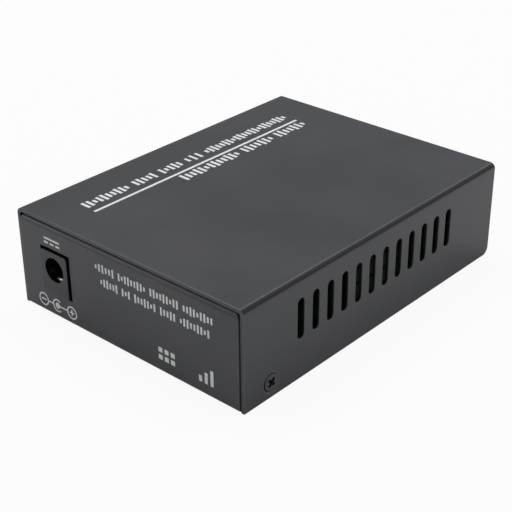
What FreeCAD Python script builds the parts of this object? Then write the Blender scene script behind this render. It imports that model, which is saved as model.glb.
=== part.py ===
import FreeCAD, Part
import math
import os

# Fibre media converter: a folded two-part steel case with a board, a copper network socket, a
# fibre module slot and a power inlet. Millimetres. +Z is up, the front with the two ports faces -Y
# and the rear with the power inlet faces +Y. The origin is the middle of the footprint, on the
# plane that the case stands on.

V = FreeCAD.Vector

# ---------------------------------------------------------------- driving dimensions

# Case: the cover is an inverted U, the tray is floor, front panel and rear panel in one sheet.
case_length = 94.0        # cover, front rim to rear rim
case_width = 71.5
case_height = 25.5
cover_sheet = 1.0
cover_bend = 1.5          # outer radius of the cover's two long bends
cover_foot_round = 2.0    # round at the foot of each cover wall, at its front end
tray_sheet = 1.0
tray_bend = 1.3           # outer radius of the tray's bends
tray_side_gap = 0.12      # tray edge to cover wall
tray_top_gap = 0.2        # panel flange to cover roof
panel_proud = 0.4         # panel face beyond the cover's rim
panel_corner = 1.7        # round at a panel's top corners
panel_flange = 6.0        # depth of the flange at the top of each panel

# Vent slots, the same on both long sides.
slot_count = 12
slot_pitch = 5.04
slot_width = 2.25
slot_length = 10.1
slot_middle_height = 15.25
slot_first_inset = 18.4   # rear rim to the first slot's middle

# Side tabs of the tray and the screws that hold the cover to the rear pair.
screw_inset = 8.6         # rear rim to screw
screw_height = 3.8
screw_thread = 2.5
screw_head = 4.2
screw_length = 4.0
sink_mouth = 4.9          # countersink, where it opens on the cover's face
tab_width = 10.0
tab_height = 8.5
tab_relief = 1.0          # notch beside each tab
tab_gap = 0.2             # tab to cover wall
thread_gap = 0.02         # radial gap between a screw and its tapped hole
seat_gap = 0.03           # gap between a countersunk head and its seat
cross_span = 2.3
cross_arm = 0.55
cross_depth = 0.9
cross_turn = 45           # degrees

# Round ends and rods that repeat many times are drawn with flats of this turn, in degrees.
small_flat = 20

# Board, its standoffs and its screws.
board_width = 62.0
board_sheet = 1.6
board_lift = 4.4          # floor to underside of the board
board_rear_gap = 0.5      # board edge to rear panel
board_front_gap = 1.9     # board edge to front panel
standoff_foot = 5.6       # across flats of the foot clinched into the floor
standoff_barrel = 5.0     # across flats of the barrel
clinch_gap = 0.02
board_screw_thread = 3.0
board_screw_length = 5.0
board_screw_head = 5.5    # across flats
board_screw_head_height = 2.0
board_screw_gap = 0.1     # radial gap in the board's hole
rear_standoff_x = 27.5
rear_standoff_y = 27.5
front_standoff_x = 8.8
front_standoff_y = -31.0

# Power inlet: a 5.5 mm barrel inlet with a 2 mm centre pin.
inlet_x = 22.7
inlet_width = 9.0
inlet_height = 11.0
inlet_length = 14.2
inlet_proud = 0.5         # face beyond the rear panel
inlet_front_block = 3.4   # full-section stretch behind the face
inlet_back_width = 8.4
inlet_axis_height = 6.5   # above the board
inlet_bore = 6.3
inlet_bore_depth = 10.4
inlet_chamfer = 0.5
inlet_side_gap = 0.5      # inlet to the edge of the rear cut-out
inlet_low_gap = 0.25
inlet_top_gap = 0.5
pin_diameter = 2.0
pin_shank = 2.6           # pressed into the block behind the bore
pin_recess = 3.0          # pin tip behind the inlet's face
pin_tip_chamfer = 0.5
pin_gap = 0.02
terminal_sheet = 0.3
terminal_width = 2.4
terminal_reach = 1.6      # below the board
terminal_gap = 0.1        # around a terminal in its board slot
leaf_width = 2.6
leaf_start = 2.1          # behind the inlet's face
leaf_crest_depth = 5.6
leaf_end = 11.6
leaf_rise = 0.3           # crest above the bottom of the bore
leaf_sink = 0.55          # ends below the bottom of the bore
leaf_slot_gap = 0.15
side_terminal_inset = 9.0 # behind the inlet's face
side_recess_depth = 0.9

# Copper network socket.
copper_x = 20.0
copper_width = 15.9
copper_height = 13.3
copper_length = 18.0
copper_proud = 0.3
copper_wall = 0.25
copper_edge = 0.35        # the shield's edges are chamfered by this much
copper_gap = 0.05         # housing inside its shield
copper_panel_gap = 0.3
copper_housing_depth = 13.4
plug_width = 11.9
plug_height = 7.0
plug_floor = 4.2          # above the board
plug_depth = 12.2
latch_wide = 6.4
latch_step = 1.5
latch_narrow = 3.4
latch_slot = 1.4
contact_count = 8
contact_pitch = 1.02
contact_wire = 0.35
contact_run_height = 11.8
contact_turn_inset = 3.6
contact_turn_drop = 0.75
contact_tip_inset = 9.6
contact_tip_height = 8.95
contact_row_near = 15.0
contact_row_far = 17.1
contact_reach = 1.2       # below the board
contact_slot = 0.5
contact_slot_top = 12.15
contact_slot_start = 3.0
contact_hole = 0.7        # the board's lead holes are square
peg_across = 3.2          # across flats
peg_spacing = 11.43
peg_inset = 8.9
peg_reach = 1.2
peg_gap = 0.05
shield_tab_width = 1.4
shield_tab_inset = 6.0
shield_tab_reach = 1.3
shield_tab_gap = 0.15

# Fibre module slot.
fibre_x = -20.0
cage_width = 14.3
cage_height = 9.4
cage_length = 47.0
cage_wall = 0.25
cage_edge = 0.4           # chamfer outside the cage's long creases
cage_proud = 0.5          # mouth beyond the front panel
cage_open_back = 13.0     # stretch of the cage's floor left open above the connector
tongue_width = 5.2
tongue_length = 9.0
tongue_slit = 0.35
tongue_window = 2.6
tongue_window_inset = 4.2
cage_vent_rows = 2
cage_vent_count = 7
cage_vent_across = 2.2    # hexagonal holes, across flats
cage_vent_pitch = 4.2
cage_vent_spacing = 5.0
cage_vent_inset = 12.0
cage_pin_count = 5
cage_pin_inset = 12.5
cage_pin_end_inset = 2.5  # last pin to the cage's rear wall
cage_pin_width = 0.6
cage_pin_reach = 1.4
cage_pin_hole = 0.85
finger_sheet = 0.12
finger_width = 2.2
finger_pitch = 3.0
finger_length = 3.0
finger_crest = 1.3        # behind the mouth
finger_rise = 0.42
finger_band = 0.5         # width of the band round the mouth
finger_gap = 0.02
finger_flat_count = 4     # along the top and along the bottom
finger_side_count = 2
card_width = 11.8
card_height = 5.4
card_depth = 6.6
card_back_gap = 1.9       # connector to the cage's rear wall
card_slot_width = 10.2
card_slot_height = 1.6
card_slot_depth = 4.6
card_slot_floor = 2.5
card_contact_count = 10
card_contact_pitch = 0.8
card_contact_width = 0.3
card_contact_sheet = 0.2
card_contact_slot = 0.42
card_contact_start = 1.2  # behind the connector's face
card_row_near = 0.4       # lower contacts turn down this far behind the connector
card_row_far = 0.9        # upper contacts turn down this far behind it
card_peg = 1.2
card_peg_spacing = 9.6
card_peg_reach = 1.0

# Status lights in their spacers.
light_column_count = 3
light_pitch = 5.6
light_low = 3.4           # lower light above the board
light_step = 5.4
light_diameter = 3.0
light_length = 5.3
light_proud = 0.4
light_hole_gap = 0.15
light_lead = 0.45
light_lead_spacing = 2.54
light_lead_low_run = 4.4
light_lead_step = 1.8
light_lead_gap = 0.05
light_lead_reach = 1.2
light_lead_hole = 0.75
spacer_width = 4.8
spacer_height = 11.4
spacer_length = 3.8

# Board components. Each place is the middle of the component on the board.
transformer_place = (20.0, -18.0)
transformer_body = (15.2, 9.4, 5.6)
transformer_leads = 12
transformer_lead_pitch = 1.1
transformer_lead_out = 0.8
converter_place = (-2.0, 4.0)
converter_side = 9.0
line_chip_place = (18.0, 2.0)
line_chip_side = 7.0
flat_chip_height = 0.9
memory_place = (-20.0, 10.0)
regulator_place = (8.0, 24.0)
small_chip_body = (4.9, 3.9, 1.5)
small_chip_leads = 4
small_chip_pitch = 1.27
small_chip_lead_out = 0.6
lead_sheet = 0.2
lead_width = 0.42
inductor_place = (16.0, 24.0)
inductor_side = 7.3
inductor_height = 4.5
inductor_corner = 1.6
input_capacitor_place = (9.0, 37.5)
input_capacitor_diameter = 8.0
input_capacitor_height = 10.2
output_capacitor_place = (-1.0, 26.0)
output_capacitor_diameter = 6.3
output_capacitor_height = 7.7
can_base_height = 0.9
can_base_margin = 0.15
diode_place = (27.0, 20.0)
diode_body = (4.3, 2.6, 2.1)
diode_terminal = (0.4, 1.5, 0.9)
crystal_place = (-4.0, -12.0)
crystal_body = (11.0, 4.6, 3.6)
crystal_base = (11.4, 4.8, 0.6)
crystal_corner = 1.6
chip_part = (1.6, 0.8)
chip_resistor_height = 0.45
chip_capacitor_height = 0.8
chip_row_count = 6
chip_row_pitch = 1.9
resistor_rows = ((-14.0, 18.0), (10.0, -8.0))
capacitor_rows = ((-9.0, 14.0), (12.0, 10.0))

# ---------------------------------------------------------------- places that follow from them

rear_rim = case_length / 2
rear_face = rear_rim + panel_proud
rear_inside = rear_face - tray_sheet
roof_inside = case_height - cover_sheet
tray_width = case_width - 2 * (cover_sheet + tray_side_gap)
tray_top = roof_inside - tray_top_gap
board_under = tray_sheet + board_lift
board_top = board_under + board_sheet
board_rear = rear_inside - board_rear_gap
board_front = board_front_gap - rear_inside
tab_y = rear_rim - screw_inset
tab_face = case_width / 2 - cover_sheet - tab_gap
tab_root = tab_face - tray_bend - tab_relief / 2
screw_x = case_width / 2
inlet_face = rear_face + inlet_proud
inlet_axis = board_top + inlet_axis_height
copper_front = -rear_face - copper_proud
cage_front = -rear_face - cage_proud
cage_back = cage_front + cage_length
card_back = cage_back - cage_wall - card_back_gap
card_front = card_back - card_depth
finger_out = finger_gap + finger_sheet + finger_rise
light_tip = -rear_face - light_proud
light_back = light_tip + light_length
standoffs = [
    (front_standoff_x, front_standoff_y), (-front_standoff_x, front_standoff_y),
    (rear_standoff_x, rear_standoff_y), (-rear_standoff_x, rear_standoff_y),
]

# ---------------------------------------------------------------- helpers


def centred(middle, width):
    """The range of this width about its middle."""
    return (middle - width / 2, middle + width / 2)


def box(xs, ys, zs):
    """A box from its three ranges."""
    size = [r[1] - r[0] for r in (xs, ys, zs)]
    return Part.makeBox(size[0], size[1], size[2], V(xs[0], ys[0], zs[0]))


def rod(start, direction, radius, length):
    """A cylinder from start along direction."""
    return Part.makeCylinder(radius, length, start, direction)


def fused(shapes):
    """One solid from several that overlap or share a face."""
    return shapes[0].multiFuse(shapes[1:]).removeSplitter()


def cut(shape, tools):
    """The shape with all the tools taken away."""
    return shape.cut(Part.makeCompound(tools)) if tools else shape


def mirrored(shape):
    """The shape's twin on the other side of the middle plane."""
    return shape.mirror(V(0, 0, 0), V(1, 0, 0))


def round_edges(shape, radius, chosen):
    """The shape with the chosen straight edges rounded."""
    return shape.makeFillet(radius, [e for e in shape.Edges if chosen(e)])


def chamfer_edges(shape, size, chosen):
    """Chamfer the edges that chosen picks."""
    return shape.makeChamfer(size, [edge for edge in shape.Edges if chosen(edge)])


def runs_along(edge, axis):
    """True for a straight edge along X, Y or Z."""
    size = (edge.BoundBox.XLength, edge.BoundBox.YLength, edge.BoundBox.ZLength)
    return all(length < 1e-6 for i, length in enumerate(size) if i != axis)


def unit(a, b):
    """The direction from a to b in a plane."""
    length = math.hypot(b[0] - a[0], b[1] - a[1])
    return ((b[0] - a[0]) / length, (b[1] - a[1]) / length)


def sideways(point, direction, side):
    """The point moved to the left of the direction of travel."""
    return (point[0] - direction[1] * side, point[1] + direction[0] * side)


def bent_line(path, bend, side):
    """The stretches of a rounded polyline moved sideways: two points each, or three for an arc."""
    stretches = []
    here = sideways(path[0], unit(path[0], path[1]), side)
    for before, corner, after in zip(path, path[1:], path[2:]):
        come = unit(before, corner)
        go = unit(corner, after)
        turn = math.atan2(come[0] * go[1] - come[1] * go[0], come[0] * go[0] + come[1] * go[1])
        reach = bend * math.tan(abs(turn) / 2)
        enter = (corner[0] - come[0] * reach, corner[1] - come[1] * reach)
        leave = (corner[0] + go[0] * reach, corner[1] + go[1] * reach)
        hand = math.copysign(1, turn)
        centre = sideways(enter, come, bend * hand)
        radius = bend - side * hand
        out = unit(centre, corner)
        crown = (centre[0] + out[0] * radius, centre[1] + out[1] * radius)
        stretches.append((here, sideways(enter, come, side)))
        stretches.append((sideways(enter, come, side), crown, sideways(leave, go, side)))
        here = sideways(leave, go, side)
    stretches.append((here, sideways(path[-1], unit(path[-2], path[-1]), side)))
    return stretches


def edge_of(stretch, place):
    """One stretch as an edge in space."""
    points = [place(*p) for p in stretch]
    if len(points) == 2:
        return Part.LineSegment(points[0], points[1]).toShape()
    return Part.Arc(points[0], points[1], points[2]).toShape()


def folded(path, inner_bend, sheet, place, width):
    """A strip of sheet whose middle line follows the path, folded at each of its corners."""
    bend = inner_bend + sheet / 2
    left = bent_line(path, bend, sheet / 2)
    right = bent_line(path, bend, -sheet / 2)
    ends = [(left[0][0], right[0][0]), (left[-1][-1], right[-1][-1])]
    edges = [edge_of(stretch, place) for stretch in left + right + ends]
    return Part.Face(Part.Wire(Part.__sortEdges__(edges))).extrude(width)


def creased(path, sheet, place, width):
    """A strip like folded, but with sharp creases, for leads too small for a bend to show."""
    sides = []
    for side in (sheet / 2, -sheet / 2):
        line = [sideways(path[0], unit(path[0], path[1]), side)]
        for before, corner, after in zip(path, path[1:], path[2:]):
            come = unit(before, corner)
            go = unit(corner, after)
            mitre = side / (1 + come[0] * go[0] + come[1] * go[1])
            line.append((corner[0] - (come[1] + go[1]) * mitre, corner[1] + (come[0] + go[0]) * mitre))
        line.append(sideways(path[-1], unit(path[-2], path[-1]), side))
        sides.append(line)
    ring = sides[0] + sides[1][::-1]
    corners = [place(*point) for point in ring + ring[:1]]
    return Part.Face(Part.makePolygon(corners)).extrude(width)


def across_x(x):
    """Puts a (y, z) drawing on the plane at x."""
    return lambda y, z: V(x, y, z)


def across_y(y):
    """Puts an (x, z) drawing on the plane at y."""
    return lambda x, z: V(x, y, z)


def hexagon(flats, place, height):
    """A hexagonal prism standing on place."""
    radius = flats / math.sqrt(3)
    corners = [place + V(radius * math.cos(math.radians(a)), radius * math.sin(math.radians(a)), 0)
               for a in range(0, 420, 60)]
    return Part.Face(Part.makePolygon(corners)).extrude(V(0, 0, height))


def arc_corners(middle, radius, turn_from, turn):
    """Points along an arc, one more than its small flats; repeats use flats so they stay light."""
    flats = round(turn / small_flat)
    angles = [math.radians(turn_from + turn * i / flats) for i in range(flats + 1)]
    return [(middle[0] + radius * math.cos(a), middle[1] + radius * math.sin(a)) for a in angles]


def flat_sided_rod(x, y, z, radius, length):
    """A rod along +Y made of small flats, starting at y."""
    corners = [V(x, y, z) + V(a, 0, b) for a, b in arc_corners((0, 0), radius, 0, 360)]
    return Part.Face(Part.makePolygon(corners)).extrude(V(0, length, 0))


def turned_to(shape, point, direction):
    """A shape made upright at the origin, turned to point along direction and put at point."""
    shape.Placement = FreeCAD.Placement(point, FreeCAD.Rotation(V(0, 0, 1), direction))
    return shape


def cross_recess():
    """The cross for the driver, cut down from a head's flat at the origin."""
    arm = box(centred(0, cross_span), centred(0, cross_arm), (-cross_depth, 0))
    other = box(centred(0, cross_arm), centred(0, cross_span), (-cross_depth, 0))
    recess = fused([arm, other])
    recess.rotate(V(0, 0, 0), V(0, 0, 1), cross_turn)
    return recess


# ---------------------------------------------------------------- case


def top_cover():
    """The inverted U, with its vent slots and the countersinks for the two screws."""
    wall = case_width / 2 - cover_sheet / 2
    roof = case_height - cover_sheet / 2
    path = [(-wall, 0), (-wall, roof), (wall, roof), (wall, 0)]
    shell = folded(path, cover_bend - cover_sheet, cover_sheet, across_y(-rear_rim), V(0, case_length, 0))
    shell = round_edges(shell, cover_foot_round, lambda e: runs_along(e, 0)
                        and e.CenterOfMass.y < 1e-6 - rear_rim and e.CenterOfMass.z < 1e-6)
    tools = [vent_slot(rear_rim - slot_first_inset - i * slot_pitch) for i in range(slot_count)]
    sink = Part.makeCone(sink_mouth / 2 - cover_sheet, sink_mouth / 2, cover_sheet,
                         V(screw_x - cover_sheet, tab_y, screw_height), V(1, 0, 0))
    return cut(shell, tools + [sink, mirrored(sink)])


def vent_slot(y):
    """The cutter of one round-ended slot in both walls."""
    half = slot_width / 2
    low = slot_middle_height - slot_length / 2 + half
    high = slot_middle_height + slot_length / 2 - half
    ring = arc_corners((y, low), half, 180, 180) + arc_corners((y, high), half, 0, 180)
    start = -case_width / 2 - cover_sheet
    wire = Part.makePolygon([V(start, a, b) for a, b in ring + ring[:1]])
    return Part.Face(wire).extrude(V(-2 * start, 0, 0))


def base_tray():
    """Floor, rear panel and front panel in one sheet, with flanges, side tabs and cut-outs."""
    half = tray_sheet / 2
    rear = rear_face - half
    flange = rear_face - panel_flange
    top = tray_top - half
    path = [(flange, top), (rear, top), (rear, half), (-rear, half), (-rear, top), (-flange, top)]
    tray = folded(path, tray_bend - tray_sheet, tray_sheet, across_x(-tray_width / 2), V(tray_width, 0, 0))
    outline = box(centred(0, tray_width), (-rear_face, rear_face), (0, tray_top))
    outline = round_edges(outline, panel_corner, lambda e: runs_along(e, 1)
                          and e.CenterOfMass.z > tray_top - 1e-6)
    tray = cut(tray.common(outline), flange_ends() + tab_notches())
    tray = fused([tray] + side_tabs())
    return cut(tray, panel_openings() + floor_openings())


def flange_ends():
    """What is trimmed so that the flanges are narrower than the panels."""
    tools = []
    for side in (-1, 1):
        xs = sorted((side * (tray_width / 2 - panel_corner), side * tray_width / 2))
        for end in (-1, 1):
            ys = sorted((end * (rear_face - panel_flange), end * (rear_face - tray_bend)))
            tools.append(box(xs, ys, (tray_top - tray_bend, tray_top)))
    return tools


def tab_notches():
    """The stretches of floor edge that the tabs and their reliefs take up."""
    tools = []
    for y in (-tab_y, tab_y):
        notch = box((tab_root, tray_width / 2), centred(y, tab_width + 2 * tab_relief), (0, tray_sheet))
        tools += [notch, mirrored(notch)]
    return tools


def side_tabs():
    """Four tabs folded up inside the cover's walls."""
    half = tray_sheet / 2
    path = [(tab_root, half), (tab_face - half, half), (tab_face - half, tab_height)]
    tabs = []
    for y in (-tab_y, tab_y):
        tab = folded(path, tray_bend - tray_sheet, tray_sheet, across_y(y - tab_width / 2),
                     V(0, tab_width, 0))
        tabs += [tab, mirrored(tab)]
    return tabs


def panel_openings():
    """Cut-outs of the two panels, and the tapped holes of the rear tabs."""
    rear = (rear_inside, rear_face)
    front = (-rear_face, -rear_inside)
    tapped = rod(V(-case_width / 2, tab_y, screw_height), V(1, 0, 0), screw_thread / 2 + thread_gap,
                 case_width)
    inlet = box(centred(inlet_x, inlet_width + 2 * inlet_side_gap), rear,
                (board_top - inlet_low_gap, board_top + inlet_height + inlet_top_gap))
    copper = box(centred(copper_x, copper_width + 2 * copper_panel_gap), front,
                 (board_top - copper_panel_gap, board_top + copper_height + copper_panel_gap))
    fibre_gap = finger_out + finger_gap
    fibre = box(centred(fibre_x, cage_width + 2 * fibre_gap), front,
                (board_top - fibre_gap, board_top + cage_height + fibre_gap))
    lights = [flat_sided_rod(x, -rear_face, z, light_diameter / 2 + light_hole_gap, tray_sheet)
              for x, z in light_places()]
    return [tapped, inlet, copper, fibre] + lights


def floor_openings():
    """The holes that the standoffs are clinched into."""
    return [hexagon(standoff_foot + 2 * clinch_gap, V(x, y, 0), tray_sheet) for x, y in standoffs]


def cover_screw():
    """A countersunk screw, standing on its point, the flat of its head at the origin."""
    height = (screw_head - screw_thread) / 2
    head = Part.makeCone(screw_thread / 2, screw_head / 2, height, V(0, 0, -height))
    shank = rod(V(0, 0, -screw_length), V(0, 0, 1), screw_thread / 2, screw_length - height)
    return fused([head, shank]).cut(cross_recess())


def cover_screws():
    """One screw on each side, sunk until its head meets the countersink."""
    depth = (sink_mouth - screw_head) / 2 - seat_gap
    right = turned_to(cover_screw(), V(screw_x - depth, tab_y, screw_height), V(1, 0, 0))
    left = turned_to(cover_screw(), V(depth - screw_x, tab_y, screw_height), V(-1, 0, 0))
    return Part.makeCompound([right, left])


# ---------------------------------------------------------------- board and what holds it


def board_standoffs():
    """Four tapped hexagonal barrels, each with a wider foot flush in the floor."""
    posts = []
    for x, y in standoffs:
        foot = hexagon(standoff_foot, V(x, y, 0), tray_sheet)
        barrel = hexagon(standoff_barrel, V(x, y, tray_sheet), board_lift)
        bore = rod(V(x, y, 0), V(0, 0, 1), board_screw_thread / 2 + thread_gap, board_under)
        posts.append(fused([foot, barrel]).cut(bore))
    return Part.makeCompound(posts)


def board_screws():
    """Four hexagon-head screws down through the board."""
    screws = []
    for x, y in standoffs:
        head = hexagon(board_screw_head, V(x, y, board_top), board_screw_head_height)
        shank = rod(V(x, y, board_top - board_screw_length), V(0, 0, 1), board_screw_thread / 2,
                    board_screw_length)
        screws.append(fused([head, shank]))
    return Part.makeCompound(screws)


def main_board():
    """The board with every hole that a screw, pin, peg or lead goes through."""
    board = box(centred(0, board_width), (board_front, board_rear), (board_under, board_top))
    tools = [rod(V(x, y, board_under), V(0, 0, 1), board_screw_thread / 2 + board_screw_gap, board_sheet)
             for x, y in standoffs]
    lead_holes = [(x, y, contact_hole) for x, y in copper_pin_places()]
    lead_holes += [(x, y, cage_pin_hole) for x, y in cage_pin_places()]
    lead_holes += [(x, y, light_lead_hole) for x, y in light_lead_places()]
    tools += [box(centred(x, size), centred(y, size), (board_under, board_top))
              for x, y, size in lead_holes]
    tools += [hexagon(peg_across + 2 * peg_gap, V(x, y, board_under), board_sheet)
              for x, y in copper_peg_places()]
    tools += [hexagon(card_peg + 2 * peg_gap, V(x, y, board_under), board_sheet)
              for x, y in card_peg_places()]
    tools += [box(xs, ys, (board_under, board_top)) for xs, ys in terminal_slots() + shield_tab_slots()]
    return cut(board, tools)


# ---------------------------------------------------------------- power inlet


def inlet_body():
    """Moulded block with the plug's bore, and slots for its contacts."""
    block = box(centred(inlet_x, inlet_width), (inlet_face - inlet_front_block, inlet_face),
                (board_top, board_top + inlet_height))
    block = block.makeChamfer(inlet_chamfer, [e for e in block.Edges if runs_along(e, 1)
                              and e.CenterOfMass.z > board_top + inlet_height - 1e-6])
    rear_end = inlet_face - inlet_length
    back = box(centred(inlet_x, inlet_back_width), (rear_end, inlet_face - inlet_front_block),
               (board_top, inlet_axis))
    crown = rod(V(inlet_x, rear_end, inlet_axis), V(0, 1, 0), inlet_back_width / 2,
                inlet_length - inlet_front_block)
    bore = rod(V(inlet_x, inlet_face - inlet_bore_depth, inlet_axis), V(0, 1, 0), inlet_bore / 2,
               inlet_bore_depth)
    pin_hole = rod(V(inlet_x, rear_end, inlet_axis), V(0, 1, 0), pin_shank / 2 + pin_gap, inlet_length)
    leaf_slot = box(centred(inlet_x, leaf_width + 2 * leaf_slot_gap),
                    (inlet_face - leaf_end - leaf_slot_gap - terminal_sheet, inlet_face - leaf_start),
                    (board_top, inlet_axis - pin_shank / 2 - leaf_slot_gap))
    recess = box((inlet_x + inlet_back_width / 2 - side_recess_depth, inlet_x + inlet_back_width / 2),
                 centred(inlet_face - side_terminal_inset, terminal_width + 2 * leaf_slot_gap),
                 (board_top, inlet_axis))
    return cut(fused([block, back, crown]), [bore, pin_hole, leaf_slot, recess])


def inlet_pin():
    """Centre pin with its thicker shank, riveted to the blade behind the block."""
    rear_end = inlet_face - inlet_length
    length = inlet_length - pin_recess + terminal_sheet
    start = V(inlet_x, rear_end - terminal_sheet, inlet_axis)
    pin = rod(start, V(0, 1, 0), pin_diameter / 2, length)
    pin = chamfer_edges(pin, pin_tip_chamfer, lambda e: e.CenterOfMass.y > inlet_face - pin_recess - 1e-6)
    shank = rod(start, V(0, 1, 0), pin_shank / 2, inlet_length - inlet_bore_depth + terminal_sheet)
    blade = box(centred(inlet_x, terminal_width), (rear_end - terminal_sheet, rear_end),
                (board_under - terminal_reach, inlet_axis + terminal_width / 2))
    return fused([blade, shank, pin])


def inlet_leaf():
    """Spring leaf under the bore, which touches the plug's sleeve."""
    floor = inlet_axis - inlet_bore / 2
    path = [
        (inlet_face - leaf_start - leaf_slot_gap, floor - leaf_sink),
        (inlet_face - leaf_crest_depth, floor + leaf_rise - terminal_sheet / 2),
        (inlet_face - leaf_end, floor - leaf_sink),
        (inlet_face - leaf_end, board_under - terminal_reach),
    ]
    return creased(path, terminal_sheet, across_x(inlet_x - leaf_width / 2), V(leaf_width, 0, 0))


def inlet_side_terminal():
    """Flat blade in the recess at the block's side."""
    start = inlet_x + inlet_back_width / 2 - side_recess_depth
    return box((start, start + terminal_sheet), centred(inlet_face - side_terminal_inset, terminal_width),
               (board_under - terminal_reach, inlet_axis - leaf_slot_gap))


def terminal_slots():
    """Board slots of the inlet's three terminals."""
    rear_end = inlet_face - inlet_length
    side = inlet_x + inlet_back_width / 2 - side_recess_depth
    rear_slot = (centred(inlet_x, terminal_width + 2 * terminal_gap),
                 (rear_end - terminal_sheet - terminal_gap, rear_end + terminal_gap))
    leaf_slot = (centred(inlet_x, leaf_width + 2 * terminal_gap),
                 centred(inlet_face - leaf_end, terminal_sheet + 2 * terminal_gap))
    side_slot = ((side - terminal_gap, side + terminal_sheet + terminal_gap),
                 centred(inlet_face - side_terminal_inset, terminal_width + 2 * terminal_gap))
    return [rear_slot, leaf_slot, side_slot]


# ---------------------------------------------------------------- copper network socket


def plug_cavity(start, end):
    """The stepped hollow that takes the plug and its latch."""
    floor = board_top + plug_floor
    body = box(centred(copper_x, plug_width), (start, end), (floor, floor + plug_height))
    step = box(centred(copper_x, latch_wide), (start, end), (floor - latch_step, floor))
    slot = box(centred(copper_x, latch_narrow), (start, end),
               (floor - latch_step - latch_slot, floor - latch_step))
    return fused([body, step, slot])


def copper_shield():
    """Stamped shell: roof, sides, back and a front with the plug's outline cut out."""
    xs = centred(copper_x, copper_width)
    ys = (copper_front, copper_front + copper_length)
    top = board_top + copper_height
    w = copper_wall
    shell = box(xs, ys, (board_top, top))
    shell = chamfer_edges(shell, copper_edge, lambda e: e.CenterOfMass.z > board_top + w)
    hollow = box((xs[0] + w, xs[1] - w), (ys[0] + w, ys[1] - w), (board_top - w, top - w))
    window = plug_cavity(copper_front, copper_front + 2 * w)
    shell = cut(shell, [hollow, window])
    tabs = [box((x - w / 2, x + w / 2), centred(y, shield_tab_width),
                (board_under - shield_tab_reach, board_top + copper_edge))
            for x, y in shield_tab_places()]
    return fused([shell] + tabs)


def shield_tab_places():
    """Middles of the two tabs that hold the shield in the board."""
    reach = (copper_width - copper_wall) / 2
    return [(copper_x + side * reach, copper_front + shield_tab_inset) for side in (-1, 1)]


def shield_tab_slots():
    """Board slots of the shield's tabs."""
    width = copper_wall + 2 * shield_tab_gap
    depth = shield_tab_width + 2 * shield_tab_gap
    return [(centred(x, width), centred(y, depth)) for x, y in shield_tab_places()]


def copper_housing():
    """Moulded insert with the plug's hollow, a slot for each contact, and two pegs."""
    inset = copper_wall + copper_gap
    xs = centred(copper_x, copper_width - 2 * inset)
    block = box(xs, (copper_front + inset, copper_front + copper_housing_depth),
                (board_top, board_top + copper_height - inset))
    pegs = [hexagon(peg_across, V(x, y, board_under - peg_reach), board_sheet + peg_reach)
            for x, y in copper_peg_places()]
    tools = [plug_cavity(copper_front, copper_front + plug_depth)]
    for x in copper_contact_xs():
        tools.append(box(centred(x, contact_slot),
                         (copper_front + contact_slot_start, copper_front + copper_housing_depth),
                         (board_top + plug_floor + plug_height - contact_wire,
                          board_top + contact_slot_top)))
    return cut(fused([block] + pegs), tools)


def copper_peg_places():
    """Middles of the housing's two pegs."""
    return [(copper_x + side * peg_spacing / 2, copper_front + peg_inset) for side in (-1, 1)]


def copper_contact_xs():
    """The contacts' places across the socket."""
    return [copper_x + (i - (contact_count - 1) / 2) * contact_pitch for i in range(contact_count)]


def copper_pin_places():
    """Where the contacts go through the board, in two staggered rows."""
    rows = (contact_row_near, contact_row_far)
    return [(x, copper_front + rows[i % 2]) for i, x in enumerate(copper_contact_xs())]


def copper_contacts():
    """Eight wires: up behind the housing, forward over the hollow, and back down into it."""
    wires = []
    for x, y in copper_pin_places():
        path = [
            (y, board_under - contact_reach),
            (y, board_top + contact_run_height),
            (copper_front + contact_turn_inset, board_top + contact_run_height),
            (copper_front + contact_turn_inset, board_top + contact_run_height - contact_turn_drop),
            (copper_front + contact_tip_inset, board_top + contact_tip_height),
        ]
        wires.append(creased(path, contact_wire, across_x(x - contact_wire / 2), V(contact_wire, 0, 0)))
    return Part.makeCompound(wires)


# ---------------------------------------------------------------- fibre module slot


def cage_pin_places():
    """Middles of the pins under the cage's two walls."""
    reach = (cage_width - cage_wall) / 2
    pitch = (cage_length - cage_pin_inset - cage_pin_end_inset) / (cage_pin_count - 1)
    ys = [cage_front + cage_pin_inset + i * pitch for i in range(cage_pin_count)]
    return [(fibre_x + side * reach, y) for side in (-1, 1) for y in ys]


def module_cage():
    """Thin folded box, open at the mouth, with vents, a latch tongue and pins."""
    xs = centred(fibre_x, cage_width)
    top = board_top + cage_height
    w = cage_wall
    shell = box(xs, (cage_front, cage_back), (board_top, top))
    shell = chamfer_edges(shell, cage_edge, lambda e: runs_along(e, 1))
    hollow = box((xs[0] + w, xs[1] - w), (cage_front - w, cage_back - w), (board_top + w, top - w))
    hollow = chamfer_edges(hollow, cage_edge - w, lambda e: runs_along(e, 1))
    open_floor = box((xs[0] + cage_edge, xs[1] - cage_edge),
                     (cage_back - cage_open_back, cage_back - w), (board_top, board_top + w))
    shell = cut(shell, [hollow, open_floor] + cage_vents(top) + tongue_cuts())
    pins = [box(centred(x, w), centred(y, cage_pin_width),
                (board_under - cage_pin_reach, board_top + cage_edge + w))
            for x, y in cage_pin_places()]
    return fused([shell] + pins)


def cage_vents(top):
    """Hexagonal holes in the cage's roof."""
    vents = []
    for row in range(cage_vent_rows):
        x = fibre_x + (row - (cage_vent_rows - 1) / 2) * cage_vent_spacing
        for i in range(cage_vent_count):
            y = cage_front + cage_vent_inset + i * cage_vent_pitch
            vents.append(hexagon(cage_vent_across, V(x, y, top - cage_wall), cage_wall))
    return vents


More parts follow.
